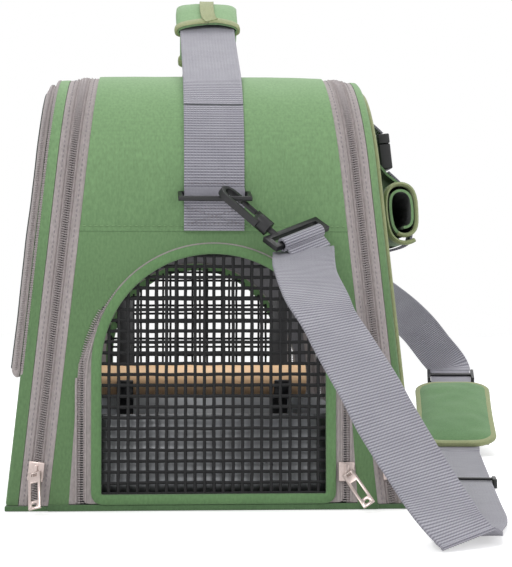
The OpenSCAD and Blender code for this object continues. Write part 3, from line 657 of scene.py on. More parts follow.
def cords(name, lines, radius, finish, sides=6):
    return grow(name, cord_tree, lines, [[(0, 0, 1)] * len(line) for line in lines],
                {"Cord radius": radius * MM, "Sides": sides, "Finish": finish})


print("trees ready")

# %% [markdown]
# Each side door zips round its own hoop. The zip is two strips of woven tape with a nylon coil sewn to the
# edge of each, and the two coils lock between each other. One strip stays on the bag and the other leaves
# with the door, so each is a piece of its own, and so is its row of teeth, half a pitch away from the other.

# %% Main zips of the side doors
def slope_bottom(gap, w):
    """Where a door's bottom edge lies on the slope, for a gap above the floor and a distance w outward."""
    return (gap - w * LEAN_SIN) / LEAN_COS


def hoop_line(side, inset, w, bottom_gap=SIDE_BOTTOM, step=5.0, raise_out=0.0):
    """A line round a side door in bag axes, with outward directions, at distance w from the bag's side."""
    nominal = hoop_path(0, SLANT, 0, step)
    path = hoop_path(inset, SLANT, slope_bottom(bottom_gap, w), step)
    if len(path) != len(nominal):
        at = np.linspace(0, 1, len(nominal))
        old = np.linspace(0, 1, len(path))
        path = np.stack([np.interp(at, old, path[:, k]) for k in range(4)], 1)
    tilt = 1 / math.hypot(1, FLARE)
    line, outs = [], []
    for u, v, nu, nv in path:
        out = side_turn(side, nu * tilt, nv * tilt, FLARE * tilt)
        line.append(side_point(side, u, v, w) + out * raise_out)
        outs.append(out)
    return np.array(line), np.array(outs)


def band(name, lines, material, thick):
    """A strip of cloth between neighbouring lines."""
    rows = len(lines[0])
    points = np.array(lines).transpose(1, 0, 2).reshape(-1, 3)
    piece = mesh_of(name, points, grid_faces(rows, len(lines)), [material])
    put_right(piece)
    return thicken(piece, thick, 0.0)


# For each half: its tape's lines as (distance from the bag's side, ridge height), then the distances of its
# coil and of its stitches.
TAPES = {"inner": (((0.2, 0), (1.2, 0), (4.4, 0), (5.2, 1.0), (6.0, -0.2), (6.9, 1.0), (7.7, -0.2),
                    (9.1, -0.6)), 8.6, 3.2),
         "outer": (((18.8, 0), (17.8, 0), (14.6, 0), (13.8, 1.0), (13.0, -0.2), (12.1, 1.0), (11.3, -0.2),
                    (9.9, -0.6)), 10.4, 15.8)}
for side, label in ((-1, "left"), (1, "right")):
    for half, (columns, tooth, guide) in TAPES.items():
        carrier = "bag" if half == "inner" else f"{label}_door"
        lines = [hoop_line(side, FLARE * w, w, raise_out=ridge - 0.8)[0] for w, ridge in columns]
        tape = settle(band(f"{label}_{half}_tape", lines, tape_cloth, 1.0))
        belongs(tape, carrier, "zip_tape", f"{label}_zip_{half}")
        half_pitch = 0.5 if half == "outer" else 0
        line, outs = hoop_line(side, FLARE * tooth, tooth, step=3.0, bottom_gap=4.0 + half_pitch)
        teeth = beads(f"{label}_{half}_coil", [line], [outs], 1.5, (0.95, 3.3, 2.2), coil_plastic)
        belongs(teeth, carrier, "zip_tape")
        line, outs = hoop_line(side, FLARE * guide, guide, step=3.0, raise_out=-0.2)
        stitches = beads(f"{label}_{half}_tape_stitch", [line], [outs], 3.2, (2.2, 0.6, 0.5), grey_thread)
        belongs(stitches, carrier, "zip_tape")


# %% [markdown]
# A zip opens the arched window in each end. Its flap is a frame of cloth with a fat bound rim round the net.
# The rim is a rolled edge, so a rounded section is swept round the arch. A plain sweep in code is enough,
# because the path has only two straight legs, a half circle and a bottom edge.

# %% Sweep helper and arch path
def arch_path(half, bottom, corner=4.0, step=4.0):
    """Points (across, up) and outward directions round an arch with small rounded lower corners."""
    path = [(corner - half - corner * math.sin(a), bottom + corner - corner * math.cos(a),
             -math.sin(a), -math.cos(a)) for a in np.linspace(0, math.pi / 2, 5)]
    legs = max(2, round((ARCH - bottom - corner) / step))
    path += [(-half, bottom + corner + (ARCH - bottom - corner) * i / legs, -1, 0) for i in range(1, legs)]
    arc = max(8, round(math.pi * half / step))
    path += [(-half * math.cos(a), ARCH + half * math.sin(a), -math.cos(a), math.sin(a))
             for a in np.linspace(0, math.pi, arc + 1)]
    path += [(-x, z, -nx, nz) for x, z, nx, nz in reversed(path[:4 + legs])]
    floor_count = max(2, round(2 * (half - corner) / step))
    path += [(half - corner - 2 * (half - corner) * i / floor_count, bottom, 0, -1)
             for i in range(1, floor_count)]
    return np.array(path)


def swept(name, line, outs, faces_out, section, materials, closed=True):
    """Sweeps a section of (along outs, along faces_out) pairs round a line of points."""
    points = []
    for p, o, f in zip(line, outs, faces_out):
        for a, b in section:
            points.append(np.asarray(p) + np.asarray(o) * a + np.asarray(f) * b)
    faces = grid_faces(len(line), len(section), closed, True)
    if not closed:
        faces += tube_caps(len(line), len(section))
    return put_right(mesh_of(name, points, faces, materials))


def oval(width, height, count=10, power=1.0):
    """A rounded section, flatter where power is below 1."""
    section = []
    for i in range(count):
        a = CIRCLE * i / count
        c, s = math.cos(a), math.sin(a)
        section.append((width / 2 * math.copysign(abs(c) ** power, c),
                        height / 2 * math.copysign(abs(s) ** power, s)))
    return section


print("arch", len(arch_path(73.85, 7)), "points")

# %% [markdown]
# The flap round the rim is a thin plate of cloth with the zip's tape along its edge. It is cut from flat
# outlines, the way a pattern cutter would, and gets its thickness from a modifier. The net is a mesh of
# knotted black cord, so real cords are laid from edge to edge and turned into tubes by the second tree.

# %% Window flaps, rims and nets at both ends
def inside_opening(x, z, gap):
    """True where a point of an end wall is in the door opening, gap or more from its edge."""
    side = 0.0
    for (z0, x0), (z1, x1) in zip(OPENING, OPENING[1:]):
        if z0 <= z <= z1:
            side = x0 + (x1 - x0) * (z - z0) / (z1 - z0)
    return (abs(x) <= side - gap and z >= DOOR_BOTTOM) or math.hypot(x, z - ARCH) <= FLAP_RADIUS - gap


def spread(points, count=160):
    """Points spaced evenly round a closed outline."""
    points = np.array(points + points[:1], float)
    lengths = np.r_[0, np.cumsum(np.linalg.norm(np.diff(points, axis=0), axis=1))]
    at = np.linspace(0, 1, count, endpoint=False) * lengths[-1]
    return np.stack([np.interp(at, lengths, points[:, k]) for k in range(2)], 1)


def clipped_lines(inside, lines, step=0.5):
    """Keeps the parts of straight lines that are inside a shape."""
    kept = []
    for a, b in np.array(lines, float):
        count = max(2, int(np.linalg.norm(b - a) / step))
        run = []
        for p in [a + (b - a) * i / count for i in range(count + 1)] + [None]:
            if p is not None and inside(*p):
                run.append(p)
            else:
                kept += [(run[0], run[-1])] if len(run) > 2 else []
                run = []
    return kept


def in_arch(half, bottom):
    return lambda x, z: z >= bottom and abs(x) <= half and (z <= ARCH or math.hypot(x, z - ARCH) <= half)


def reached(x, z, nx, nz):
    """Moves a point of the flap's outline outwards until it meets the opening's edge."""
    up, reach_out = max(nz, 0), 0.0
    while reach_out < 5.0 and abs(x + nx * (reach_out + 0.5)) < 82.4 and inside_opening(
            x + nx * (reach_out + 0.5), z + up * (reach_out + 0.5), 0.35):
        reach_out += 0.25
    return x + nx * reach_out, z + up * reach_out


def strand(a, b, end):
    """A net cord from a to b on an end wall, waving over and under the cords that cross it."""
    upright = abs(a[0] - b[0]) < 0.01
    count = max(2, int(np.linalg.norm(b - a) / 3.4))
    row = []
    for i in range(count + 1):
        x, z = a + (b - a) * i / count
        wave = 0.22 * math.cos(math.pi * (i if upright else i + 1))
        sway = 0.35 * ripple((x, 0, z), 11, 1.0, 3)
        row.append((x + (sway if upright else 0), end * (LONG - 1.0 + wave), z + (0 if upright else sway)))
    return row


for end, label in ENDS:
    body = f"{label}_door"
    path = arch_path(73.85, 7.05)
    line = [(x, end * (LONG + 1.0), z) for x, z, _, _ in path]
    outs = [(nx, 0, nz) for _, _, nx, nz in path]
    rim = swept(f"{label}_window_rim", line, outs, [(0, end, 0)] * len(path), oval(6.6, 4.2, 12, 0.75),
                [trim_cloth])
    belongs(settle(rim), body, "green_fabric", f"{label}_door_rim")

    outer = spread([reached(*place) for place in arch_path(78.0, DOOR_BOTTOM + 0.2, 1.5)])
    inner = spread([(x, z) for x, z, _, _ in arch_path(75.5, DOOR_BOTTOM + 1.2, 1.5)])
    points = [(x, end * (LONG + 0.1), z) for x, z in np.vstack([outer, inner])]
    faces = grid_faces(2, len(outer), False, True)
    flap = put_right(mesh_of(f"{label}_flap_tape", points, faces, [tape_cloth]))
    belongs(settle(thicken(flap, 1.0, 0.0)), body, "zip_tape")

    pitch_x, pitch_z, cord = (6.0, 6.8, 1.12) if label == "near" else (6.3, 7.1, 1.0)
    lines = [((x, 8), (x, ARCH + 74)) for x in np.arange(-72, 72.1, pitch_x)]
    lines += [((-73.5, z), (73.5, z)) for z in np.arange(10.5, ARCH + 74, pitch_z)]
    strands = [strand(a, b, end) for a, b in clipped_lines(in_arch(73.6, 7.5), lines)]
    belongs(cords(f"{label}_window_net", strands, cord, net_cord, 5), body, "net", f"{label}_door_net")

# %% [markdown]
# The window's own zip runs up both legs of the arch and slips under the panel above. Half of its teeth go
# with the flap and half stay on the bag, like the main zips.

# %% Window zips
LEG_HEIGHTS, LEG_PLACES = (4, 80, 94, 106, 118, 129, 139), (83.5, 83.5, 82.3, 79.2, 74.6, 68.4, 60.5)


def leg_rows(end, offset, top, out=0.4):
    """The zip's line on both legs: straight up, then bending in over the arch until the panel hides it."""
    return [[(hand * (np.interp(z, LEG_HEIGHTS, LEG_PLACES) + offset), end * (LONG + out), z)
             for z in np.arange(DOOR_BOTTOM + 1, top, 3)] for hand in (-1, 1)]


def window_tape(end):
    """Points and faces of the strips of tape that are sewn to the bag beside both legs."""
    points, faces = [], []
    for hand in (-1, 1):
        base, heights = len(points), np.arange(DOOR_BOTTOM, 112, 4)
        for z in heights:
            edge = np.interp(z, *zip(*OPENING))
            points += [(hand * min(ZIP_LINE + 0.3, edge - 1.2), end * (LONG - 0.4), z),
                       (hand * (edge + 1.5), end * (LONG - 0.6), z)]
        faces += [tuple(base + v for v in face) for face in grid_faces(len(heights), 2)]
    return points, faces


for end, label in ENDS:
    for offset, carrier, top, name in ((-1.0, f"{label}_door", 139.0, "flap"), (1.0, "bag", 126.0, "bag")):
        rows = leg_rows(end, offset, top)
        teeth = beads(f"{label}_{name}_window_coil", rows, [[(0, end, 0)] * len(row) for row in rows], 1.5,
                      (0.95, 3.2, 2.0), coil_plastic)
        belongs(teeth, carrier, "zip_tape")
    tape = put_right(mesh_of(f"{label}_window_tape", *window_tape(end), [tape_cloth]))
    belongs(settle(thicken(tape, 1.0, 0.0)), "bag", "zip_tape", f"{label}_zip_tape")
    for name, offset, carrier, top in (("zip", -3.1, f"{label}_door", 137), ("bag", 3.0, "bag", 84)):
        ridge = cords(f"{label}_window_{name}_ridge", leg_rows(end, offset, top, 0.5), 0.75, tape_cloth, 8)
        belongs(ridge, carrier, "zip_tape")
    row = [(x, end * (LONG + 1.25), SEAM + 3.2)
           for x in np.linspace(3 - half_width(SEAM), half_width(SEAM) - 3, 40)]
    stitched = beads(f"{label}_seam_stitch", [row], [[(0, end, 0)] * len(row)], 3.6, (2.6, 0.55, 0.5), thread)
    belongs(stitched, "bag", "green_fabric")


# %% [markdown]
# Each side of the bag is one big door: a narrow gusset that continues the bag's rounding outwards, then a
# flat face with a window. Both are made from closed rings of points, one inside the other, because a ring
# can morph from the door's outline to the window's outline. The cloth between them puffs out a little.

# %% Side doors
def side_ring(inset, bottom, step=6.0):
    """A closed ring (along, up the slope) round a side: a hoop with its bottom edge."""
    path = hoop_path(inset, SLANT, bottom, step)
    nominal = len(hoop_path(0, SLANT, 0, step))
    at, old = np.linspace(0, 1, nominal), np.linspace(0, 1, len(path))
    hoop = np.stack([np.interp(at, old, path[:, k]) for k in range(2)], 1)
    long = LONG - inset
    floor_count = 64
    floor = [(long - 2 * long * i / floor_count, bottom) for i in range(1, floor_count)]
    return np.vstack([hoop, floor])


def rings_mesh(name, side, rings, materials):
    """rings is a list of (ring of (u, v), w or list of w)."""
    points = []
    for ring, w in rings:
        w = np.broadcast_to(w, len(ring))
        points += [side_point(side, u, v, o) for (u, v), o in zip(ring, w)]
    return put_right(mesh_of(name, points, grid_faces(len(rings), len(rings[0][0]), False, True), materials))


def puffed(ring, w, size=40, height=0.7, seed=1.0):
    return [w + ripple((u, v, w), size, height, seed) + ripple((u, v, w), 15, height * 0.35, seed)
            for u, v in ring]


def piped(name, side, ring, w, section):
    """An olive cord or binding swept round a side door along a closed ring, at distance w outward."""
    line = [side_point(side, u, v, w) for u, v in ring]
    out_dir = side_turn(side, 0, 0, 1)
    outs = [np.cross(unit(line[(i + 1) % len(line)] - line[i - 1]), out_dir) for i in range(len(line))]
    cord = settle(swept(name, line, outs, [out_dir] * len(line), section, [olive_cloth]))
    return belongs(cord, "right_door", "olive_binding", *(["right_piping"] if "piping" in name else []))


def in_side_window(u, v):
    long, top, radius = LONG - 27, SLANT - 27, ROOF - 27
    if v < SILL - 4 or v > top or abs(u) > long:
        return False
    across, up = abs(u) - (long - radius), v - (top - radius)
    return across <= 0 or up <= 0 or math.hypot(across, up) <= radius


COVER_ZIP_ROWS, NET_PITCH = (4, 5, 6), 6.0
for side, label, face, body in ((-1, "left", LEFT_FACE, "left_door"), (1, "right", RIGHT_FACE, "right_door")):
    rings = []
    for w in np.linspace(ZIP_BAND + 0.1, face - 1.6, 5):
        swell = 0.5 * math.sin(math.pi * (w - ZIP_BAND) / (face - ZIP_BAND))
        rings.append((side_ring(FLARE * w - swell * 0.6, slope_bottom(SIDE_BOTTOM, w)), w))
    low = slope_bottom(SIDE_BOTTOM, face)
    rings.append((side_ring(FLARE * face + 0.4, low + 0.3), face - 0.7))
    rings.append((side_ring(FLARE * face + 1.4, low + 1.2), face - 0.1))
    outer = side_ring(FLARE * face + 2.6, low + 2.4)
    inner = side_ring(30.4, SILL + 0.4)
    for t in (0.0, 0.08, 0.2, 0.35, 0.5, 0.65, 0.8, 0.92, 1.0):
        ring = between(outer, inner, t)
        rings.append((ring, puffed(ring, face - 0.25, 46, 0.35)))
    frame_cloth = rings_mesh(f"{label}_side_cloth", side, rings, [green_cloth, grey_cloth, tape_cloth])
    for polygon in frame_cloth.data.polygons:
        row, place = divmod(polygon.index, len(outer))
        if side < 0 and row in COVER_ZIP_ROWS and outer[place][1] > SILL:
            polygon.material_index = 2
    thicken(frame_cloth, 2.4, -1.0, 1)
    if frame_cloth.data.polygons[len(frame_cloth.data.polygons) - 3].normal.x * side < 0:
        frame_cloth.data.flip_normals()
    belongs(settle(frame_cloth), body, "green_fabric", f"{label}_door_frame")
    if label == "right":
        piped("right_window_binding", side, side_ring(31.5, SILL + 1.5), face + 0.1, oval(7.0, 2.6, 10, 0.7))
    lines = [((u, SILL), (u, SLANT - 28)) for u in np.arange(-168, 168.1, NET_PITCH)]
    lines += [((-172, v), (172, v)) for v in np.arange(SILL + 1, SLANT - 28, NET_PITCH)]
    strands = []
    for a, b in clipped_lines(in_side_window, lines, 1.0):
        count = max(2, int(np.linalg.norm(b - a) / 12))
        strands.append([side_point(side, *(a + (b - a) * i / count), face - 3.6 + 0.25 * (-1) ** i)
                        for i in range(count + 1)])
    belongs(cords(f"{label}_side_net", strands, 0.62, net_cord, 4), body, "net", f"{label}_door_net")

# %% [markdown]
# Piping is a cord sewn into a strip of cloth. On the right side it runs round the face just inside its edge.
# The left face carries a padded cover with its own zip, which hides the window until it is lifted.

# %% Piping and the left cover
piped("right_face_piping", 1, side_ring(FLARE * RIGHT_FACE + 8.2, 22), RIGHT_FACE + 1.2, oval(4.2, 4.0, 10))

rings = []
for inset, out in ((9.0, 0.7), (8.6, 2.2), (9.3, 3.7), (10.6, 4.9), (12.2, 5.6), (13.4, 5.8), (14.2, 6.6),
                   (15.4, 6.6), (16.4, 5.9), (20, 6.3), (28, 6.4), (38, 6.2), (50, 6.0), (62, 6.0)):
    ring = side_ring(inset, SILL + inset - 6)
    rings.append((ring, puffed(ring, LEFT_FACE + out, 48, 0.5 if out > 5 else 0.15)))
last = rings[-1][0]
centre_line = np.array([(np.clip(u, -90, 90), 180.0) for u, v in last])
for t in (0.2, 0.45, 0.7, 0.9, 1.0):
    ring = between(last, centre_line, t)
    rings.append((ring, puffed(ring, LEFT_FACE + 6.0, 48, 0.5)))
cover = rings_mesh("left_window_cover", -1, rings, [green_cloth, tape_cloth, black_cloth])
for polygon in cover.data.polygons:
    row = polygon.index // len(last)
    polygon.material_index = 1 if row < 5 else 2 if row in (5, 6, 7) else 0
fold_from, fold_to = side_point(-1, 0, SLANT - 14, 33.6), side_point(-1, 0, SLANT - 22, 33.6)
bends(settle(cover), "left_door", "left_cover", fold_from, fold_to, "green_fabric", "left_cover")
for label, inset, w, turn in (("door", 5.6, LEFT_FACE - 0.9, 0.75), ("cover", 9.0, LEFT_FACE + 3.4, 0.9)):
    hoop = hoop_path(inset, SLANT, SILL + 8, 6.0)
    line = [side_point(-1, u, v, w) for u, v, _, _ in hoop]
    outs = [unit(side_turn(-1, nu * turn, nv * turn, math.sqrt(1 - turn * turn))) for _, _, nu, nv in hoop]
    coil = beads(f"left_{label}_coil", [line], [outs], 1.5, (0.95, 3.0, 2.2), coil_plastic)
    if label == "door":
        belongs(coil, "left_door", "zip_tape", "cover_zip_tape")
    else:
        bends(coil, "left_door", "left_cover", fold_from, fold_to, "zip_tape")

# %% [markdown]
# The right cover is rolled up and held by two straps. A real roll is a spiral, so its section here is a
# spiral of cloth with gaps, bound with olive tape at both ends. The spiral is drawn in the plane of a cut
# through the roll and swept along the bag, with a slow ripple so that it doesn't look extruded.

# %% Rolled cover
ROLL_V, ROLL_W = 187.0, RIGHT_FACE + 16.3
ROLL_HIGH, ROLL_THICK, ROLL_HALF = 43.0, 24.0, 176.0
SPIRAL_START, SPIRAL_TURNS, SPIRAL_PITCH = 2.6, 2.1, 2.9


def racetrack(angle, shrink):
    """A point on the roll's outline (up the slope, outward), shrunk inwards."""
    radius = ROLL_THICK / 2 - shrink
    straight = (ROLL_HIGH - ROLL_THICK) / 2 * max(0.25, 1 - shrink / 14)
    c, s = math.cos(angle), math.sin(angle)
    return (straight * math.tanh(2.4 * c) / math.tanh(2.4) + radius * c, radius * s)


def roll_point(u, angle, shrink):
    v, w = racetrack(angle, shrink)
    wobble = ripple((u, v * 2, w * 2), 38, 0.9, 5) * (1 - 0.5 * shrink / 8)
    length = math.hypot(v, w) or 1
    return side_point(1, u, ROLL_V + v * (1 + wobble / length), ROLL_W + w * (1 + wobble / length))


turns = [(SPIRAL_START + a, 0.4 + SPIRAL_PITCH * a / CIRCLE)
         for a in np.linspace(0, CIRCLE * SPIRAL_TURNS, 74)]
stations = np.linspace(-ROLL_HALF, ROLL_HALF, 72)
points = [roll_point(u, angle, shrink) for u in stations for angle, shrink in turns]
faces = grid_faces(len(stations), len(turns))
# Painted shade: the inner face of the rolled cloth is black cloth, standing in for the shade deep inside the
# roll.
roll = put_right(mesh_of("rolled_side_cover", points, faces, [green_cloth, black_cloth]))
thicken(roll, 1.7, 0.0, 1)
SHEET = ((ROLL_V + 9, ROLL_W + 11.0), (ROLL_V + 17, ROLL_W + 6.5), (ROLL_V + 26, ROLL_W - 3),
         (ROLL_V + 38, 29.5), (SLANT - 38, 26.3), (SLANT - 28, 25.6))
points = [side_point(1, u, v, w + ripple((u, v, 0), 30, 0.7, 2)) for u in np.linspace(-148, 148, 40)
          for v, w in SHEET]
top_sheet = put_right(mesh_of("rolled_cover_top", points, grid_faces(40, len(SHEET)), [green_cloth]))
belongs(settle(thicken(top_sheet, 1.4, 0.0)), "right_door", "green_fabric")
belongs(settle(roll), "right_door", "green_fabric", "rolled_cover")
for hand, label in ENDS:
    line = [roll_point(hand * (ROLL_HALF - 5.6), angle, shrink) for angle, shrink in turns[:42]]
    along = side_turn(1, hand, 0, 0)
    outs = [np.cross(unit(line[min(i + 1, len(line) - 1)] - line[max(i - 1, 0)]), along)
            for i in range(len(line))]
    bound = swept(f"{label}_roll_binding", line, outs, [along] * len(line), oval(3.0, 13.0, 8, 0.7),
                  [olive_cloth], closed=False)
    belongs(settle(bound), "right_door", "olive_binding")


# %% [markdown]
# Webbing is a flat ribbon that bends easily one way only. This helper lays a ribbon along a route: it keeps
# the ribbon's width direction square to the route, gives the section slightly thicker edges like a real
# selvedge, and writes a strap map in real lengths so that the woven ribs follow every bend.

# %% Ribbons of webbing
def smooth_route(points, steps):
    """A smooth curve through the points, with so many steps from one to the next."""
    points = [np.asarray(p, float) for p in points]
    path = []
    for i in range(len(points) - 1):
        a, b = points[max(i - 1, 0)], points[i]
        c, d = points[i + 1], points[min(i + 2, len(points) - 1)]
        for k in range(steps):
            t = k / steps
            path.append(0.5 * (2 * b + (c - a) * t + (2 * a - 5 * b + 4 * c - d) * t * t
                               + (3 * b - a - 3 * c + d) * t ** 3))
    return np.array(path + [points[-1]])


# A ribbon's section: places across its half width, and half its thickness there, with a firm edge.
ACROSS = (-1, -0.97, -0.9, -0.6, -0.3, 0, 0.3, 0.6, 0.9, 0.97, 1)
HALF_THICK = (0.42, 0.62, 0.5, 0.46, 0.46, 0.46, 0.46, 0.46, 0.5, 0.62, 0.42)
TWIST_ROWS = 14


def ribbon(name, route, across, width, thick, material, steps=6, wave=0.0, seed=0.0, first=None, last=None):
    """Lays a ribbon along a route and returns it with its length.

    across gives its width direction at each point of the route, or one for all. first and last are other
    width directions for its very ends, which it turns into over a few rows.
    """
    path = smooth_route(route, steps)
    ways = smooth_route([across] * len(route) if np.ndim(across) == 1 else across, steps)
    section = list(zip(ACROSS, HALF_THICK)) + [(c, -h) for c, h in zip(ACROSS[::-1], HALF_THICK[::-1])]
    chart, points, run = [], [], 0.0
    for i, p in enumerate(path):
        t = unit(path[min(i + 1, len(path) - 1)] - path[max(i - 1, 0)])
        w = unit(ways[i] - (ways[i] @ t) * t)
        for end_way, rows in ((first, i), (last, len(path) - 1 - i)):
            if end_way is not None and rows < TWIST_ROWS:
                w = unit(between(np.array(end_way), w, ease(rows / TWIST_ROWS)))
        n = unit(np.cross(t, w))
        run += np.linalg.norm(p - path[i - 1]) if i else 0
        for c, h in section:
            lift = wave * ripple((run, c * 12, seed), 34, 1.0, seed)
            points.append(p + w * c * width / 2 + n * (h * thick + lift))
            chart.append((c * width / 2, run))
    faces = grid_faces(len(path), len(section), False, True) + tube_caps(len(path), len(section))
    return settle(put_right(mesh_of(name, points, faces, [material], chart), merge=False)), run


print("ribbon helper ready")

# %% [markdown]
# Two narrow straps hold the roll. Each one comes down over the roll from a side release buckle and goes back
# behind it to the face of the door.

# %% Roll straps and buckles
BUCKLE_LOW, BUCKLE_OUT, BUCKLE_PLACE = 219.0, 37.0, 110.0
bend, reach_out = (ROLL_HIGH - ROLL_THICK) / 2, ROLL_THICK / 2 + 1.6
corner = reach_out * 0.75
LOW_ROUTE = [(BUCKLE_LOW - 2, BUCKLE_OUT + 5), (ROLL_V + bend + corner, ROLL_W + corner),
             (ROLL_V + bend, ROLL_W + reach_out), (ROLL_V - bend, ROLL_W + reach_out),
             (ROLL_V - bend - corner, ROLL_W + corner), (ROLL_V - bend - reach_out, ROLL_W),
             (ROLL_V - bend - reach_out - 1, RIGHT_FACE + 1)]
HIGH_ROUTE = [(BUCKLE_LOW + 24.4, BUCKLE_OUT + 4), (BUCKLE_LOW + 32, BUCKLE_OUT - 3),
              (SLANT - 26, RIGHT_FACE + 2.2), (SLANT - 18, RIGHT_FACE + 1)]
for hand, label in ENDS:
    for part, places in (("low", LOW_ROUTE), ("high", HIGH_ROUTE)):
        route = [side_point(1, hand * BUCKLE_PLACE, v, w) for v, w in places]
        strap, _ = ribbon(f"{label}_roll_strap_{part}", route, side_turn(1, 1, 0, 0), 20, 1.3, dark_webbing)
        if part == "high":
            bends(strap, "right_door", f"{label}_buckle_plug", route[0], route[-1], "webbing")
        else:
            belongs(strap, "right_door", "webbing", *(["roll_straps"] if hand < 0 else []))


# %% [markdown]
# Hard parts keep the shape that the solids give them. Real mouldings and stampings have no knife edges, so
# each one is copied, its flat triangles are joined into whole faces, and a small bevel runs along the edges.

# %% Rounded copies of the hard parts
def rounded(solid, name, body, finish, width, segments=2, slot=None):
    """width is the bevel's; slot is the finish's name unless given."""
    mesh = frame["nodes"][solid].data.copy()
    mesh.materials.clear()
    mesh.materials.append(finish)
    mesh.name = name
    piece = in_scene(name, mesh)
    work = bmesh.new()
    work.from_mesh(mesh)
    bmesh.ops.remove_doubles(work, verts=work.verts, dist=0.00001)
    bmesh.ops.dissolve_limit(work, angle_limit=math.radians(1.0), verts=work.verts, edges=work.edges)
    work.to_mesh(mesh)
    work.free()
    edge = piece.modifiers.new("edges", "BEVEL")
    edge.width, edge.segments = width * MM, segments
    edge.limit_method, edge.angle_limit = "ANGLE", math.radians(35)
    edge.use_clamp_overlap = True
    return belongs(settle(piece, sharp=50), body, slot or SLOTS[finish], solid)


SLOTS = {black_plastic: "black_plastic", nickel: "nickel", steel: "steel", perch_wood: "wood"}
for _, end in ENDS:
    rounded(f"{end}_ring", f"{end}_d_ring", f"{end}_ring", black_plastic, 0.9, 3)
    rounded(f"{end}_hook", f"{end}_snap_hook", f"{end}_hook", black_plastic, 0.8, 3)
    rounded(f"{end}_gate", f"{end}_snap_gate", f"{end}_gate", black_plastic, 0.5)
    rounded(f"{end}_swivel", f"{end}_swivel_loop", f"{end}_swivel", black_plastic, 0.9, 3)
    rounded(f"{end}_buckle_plug", f"{end}_side_release_plug", f"{end}_buckle_plug", black_plastic, 0.8)
for place in ("near", "far", "left", "right", "cover"):
    rounded(f"{place}_slider", f"{place}_zip_slider", f"{place}_slider", nickel, 0.5)
    rounded(f"{place}_pull", f"{place}_zip_pull", f"{place}_pull", nickel, 0.35)
rounded("buckle_sockets", "side_release_sockets", "right_door", black_plastic, 0.9, 3)
rounded("floor_adjuster", "strap_adjuster", "floor_adjuster", black_plastic, 0.7)
rounded("far_adjuster", "strap_adjuster_far", "bag", black_plastic, 0.7)
rounded("stand_foot", "perch_stand_foot", "bag", black_plastic, 0.7)
rounded("perch_posts", "perch_stand_posts", "bag", black_plastic, 0.7)
rounded("tray", "steel_tray", "bag", steel, 0.35)
rounded("tray_sides", "steel_tray_sides", "bag", steel, 0.3)
rounded("perch", "wooden_perch", "perch", perch_wood, 1.0, 3)
rounded("base_board", "base_board_piece", "bag", board_grey, 0.6, slot="grey_lining")
rounded("base_panel", "base_cloth_panel", "bag", base_cloth, 0.8, slot="green_fabric")


# %% [markdown]
# The carrying handle is one long strap over the top of the bag. At each end it is sewn flat to the roof and
# the end wall, and a second layer of webbing there holds the ring. All of it is ribbon, made by the helper.

# %% Handle anchors
WEB, WEB_THICK = 38.0, 1.6
RING_Z, SLEEVE_Y = 199.0, -LONG - 2.175 - WEB_THICK
SEWN_UP_TO = 256.0


def end_route(low, high, lift):
    """A route up an end wall and over the roof's curve, lifted off the cloth. low and high are heights."""
    route = [(0, -LONG - lift, z) for z in np.linspace(low, min(high, HIGH - ROOF), 8)]
    top = math.asin(min(1, (high - (HIGH - ROOF)) / (ROOF + lift)))
    return route + [(0, ROOF - LONG - (ROOF + lift) * math.cos(a), HIGH - ROOF + (ROOF + lift) * math.sin(a))
                    for a in np.linspace(0, top, 9)[1:]]


def webbing_tube(name, rows, pitch, place):
    """Webbing wrapped round a bar. place(x, angle) gives a point; pitch is the strap map's step round it."""
    around = 18
    loop = [place(x, a) for x in rows for a in np.linspace(0, CIRCLE, around, endpoint=False)]
    chart = [(p[0], pitch * (i % around)) for i, p in enumerate(loop)]
    faces = grid_faces(len(rows), around, False, True)
    fold = put_right(mesh_of(name, loop, faces, [lilac_webbing], chart))
    return settle(thicken(fold, WEB_THICK - 0.1, -1.0))


ANCHOR_STITCHES = [[(-17, 234), (17, 234)], [(-16.5, 205.5), (16.5, 205.5)], [(-16.5, 190), (16.5, 190)],
                   [(-16.5, 180), (16.5, 180)], [(-16.5, 180), (16.5, 190)], [(-16.5, 190), (16.5, 180)]]
SLEEVE_RADIUS = 2.3 + WEB_THICK
for end, label in ENDS:
    for part, low, high, lift, steps, wave in (("upper", 200.5, SEWN_UP_TO, 1.9, 3, 0.15),
                                               ("lower", 175.8, 197.5, 1.7, 2, 0.1)):
        route = [(x, -end * y, z) for x, y, z in end_route(low, high, lift)]
        anchor, _ = ribbon(f"{label}_anchor_{part}", route, (1, 0, 0), WEB, WEB_THICK, lilac_webbing, steps,
                           wave)
        belongs(anchor, "bag", "webbing", *(["handle_anchors"] if end < 0 and part == "upper" else []))
    fold = webbing_tube(f"{label}_ring_fold", np.linspace(-WEB / 2, WEB / 2, 14), 3.9585, lambda x, a: (
        x, -end * (SLEEVE_Y + SLEEVE_RADIUS * math.cos(a)), RING_Z + SLEEVE_RADIUS * math.sin(a)))
    belongs(fold, "bag", "webbing")
    lines = [[(x, end * (LONG + 2.95), z) for x, z in line] for line in ANCHOR_STITCHES]
    box = beads(f"{label}_anchor_stitch", lines, [[(0, end, 0)] * 2] * len(lines), 2.6, (1.9, 0.6, 0.5),
                grey_thread)
    belongs(box, "bag", "webbing")

# %% [markdown]
# The handle strap swings from side to side. Its ends are sewn down, so the webbing runs from the bag to
# the handle's own body. Round its middle is a padded wrap of green cloth. The wrap closes along its top, and
# its edges are bound with olive tape.

# %% Handle and grip
CROWN = HIGH + 68
roof_middle = LONG - ROOF
leg = math.asin((SEWN_UP_TO - (HIGH - ROOF)) / (ROOF + WEB_THICK / 2))
leg_start = (0, -roof_middle - (ROOF + 1.9) * math.cos(leg), SEWN_UP_TO + 1.2)
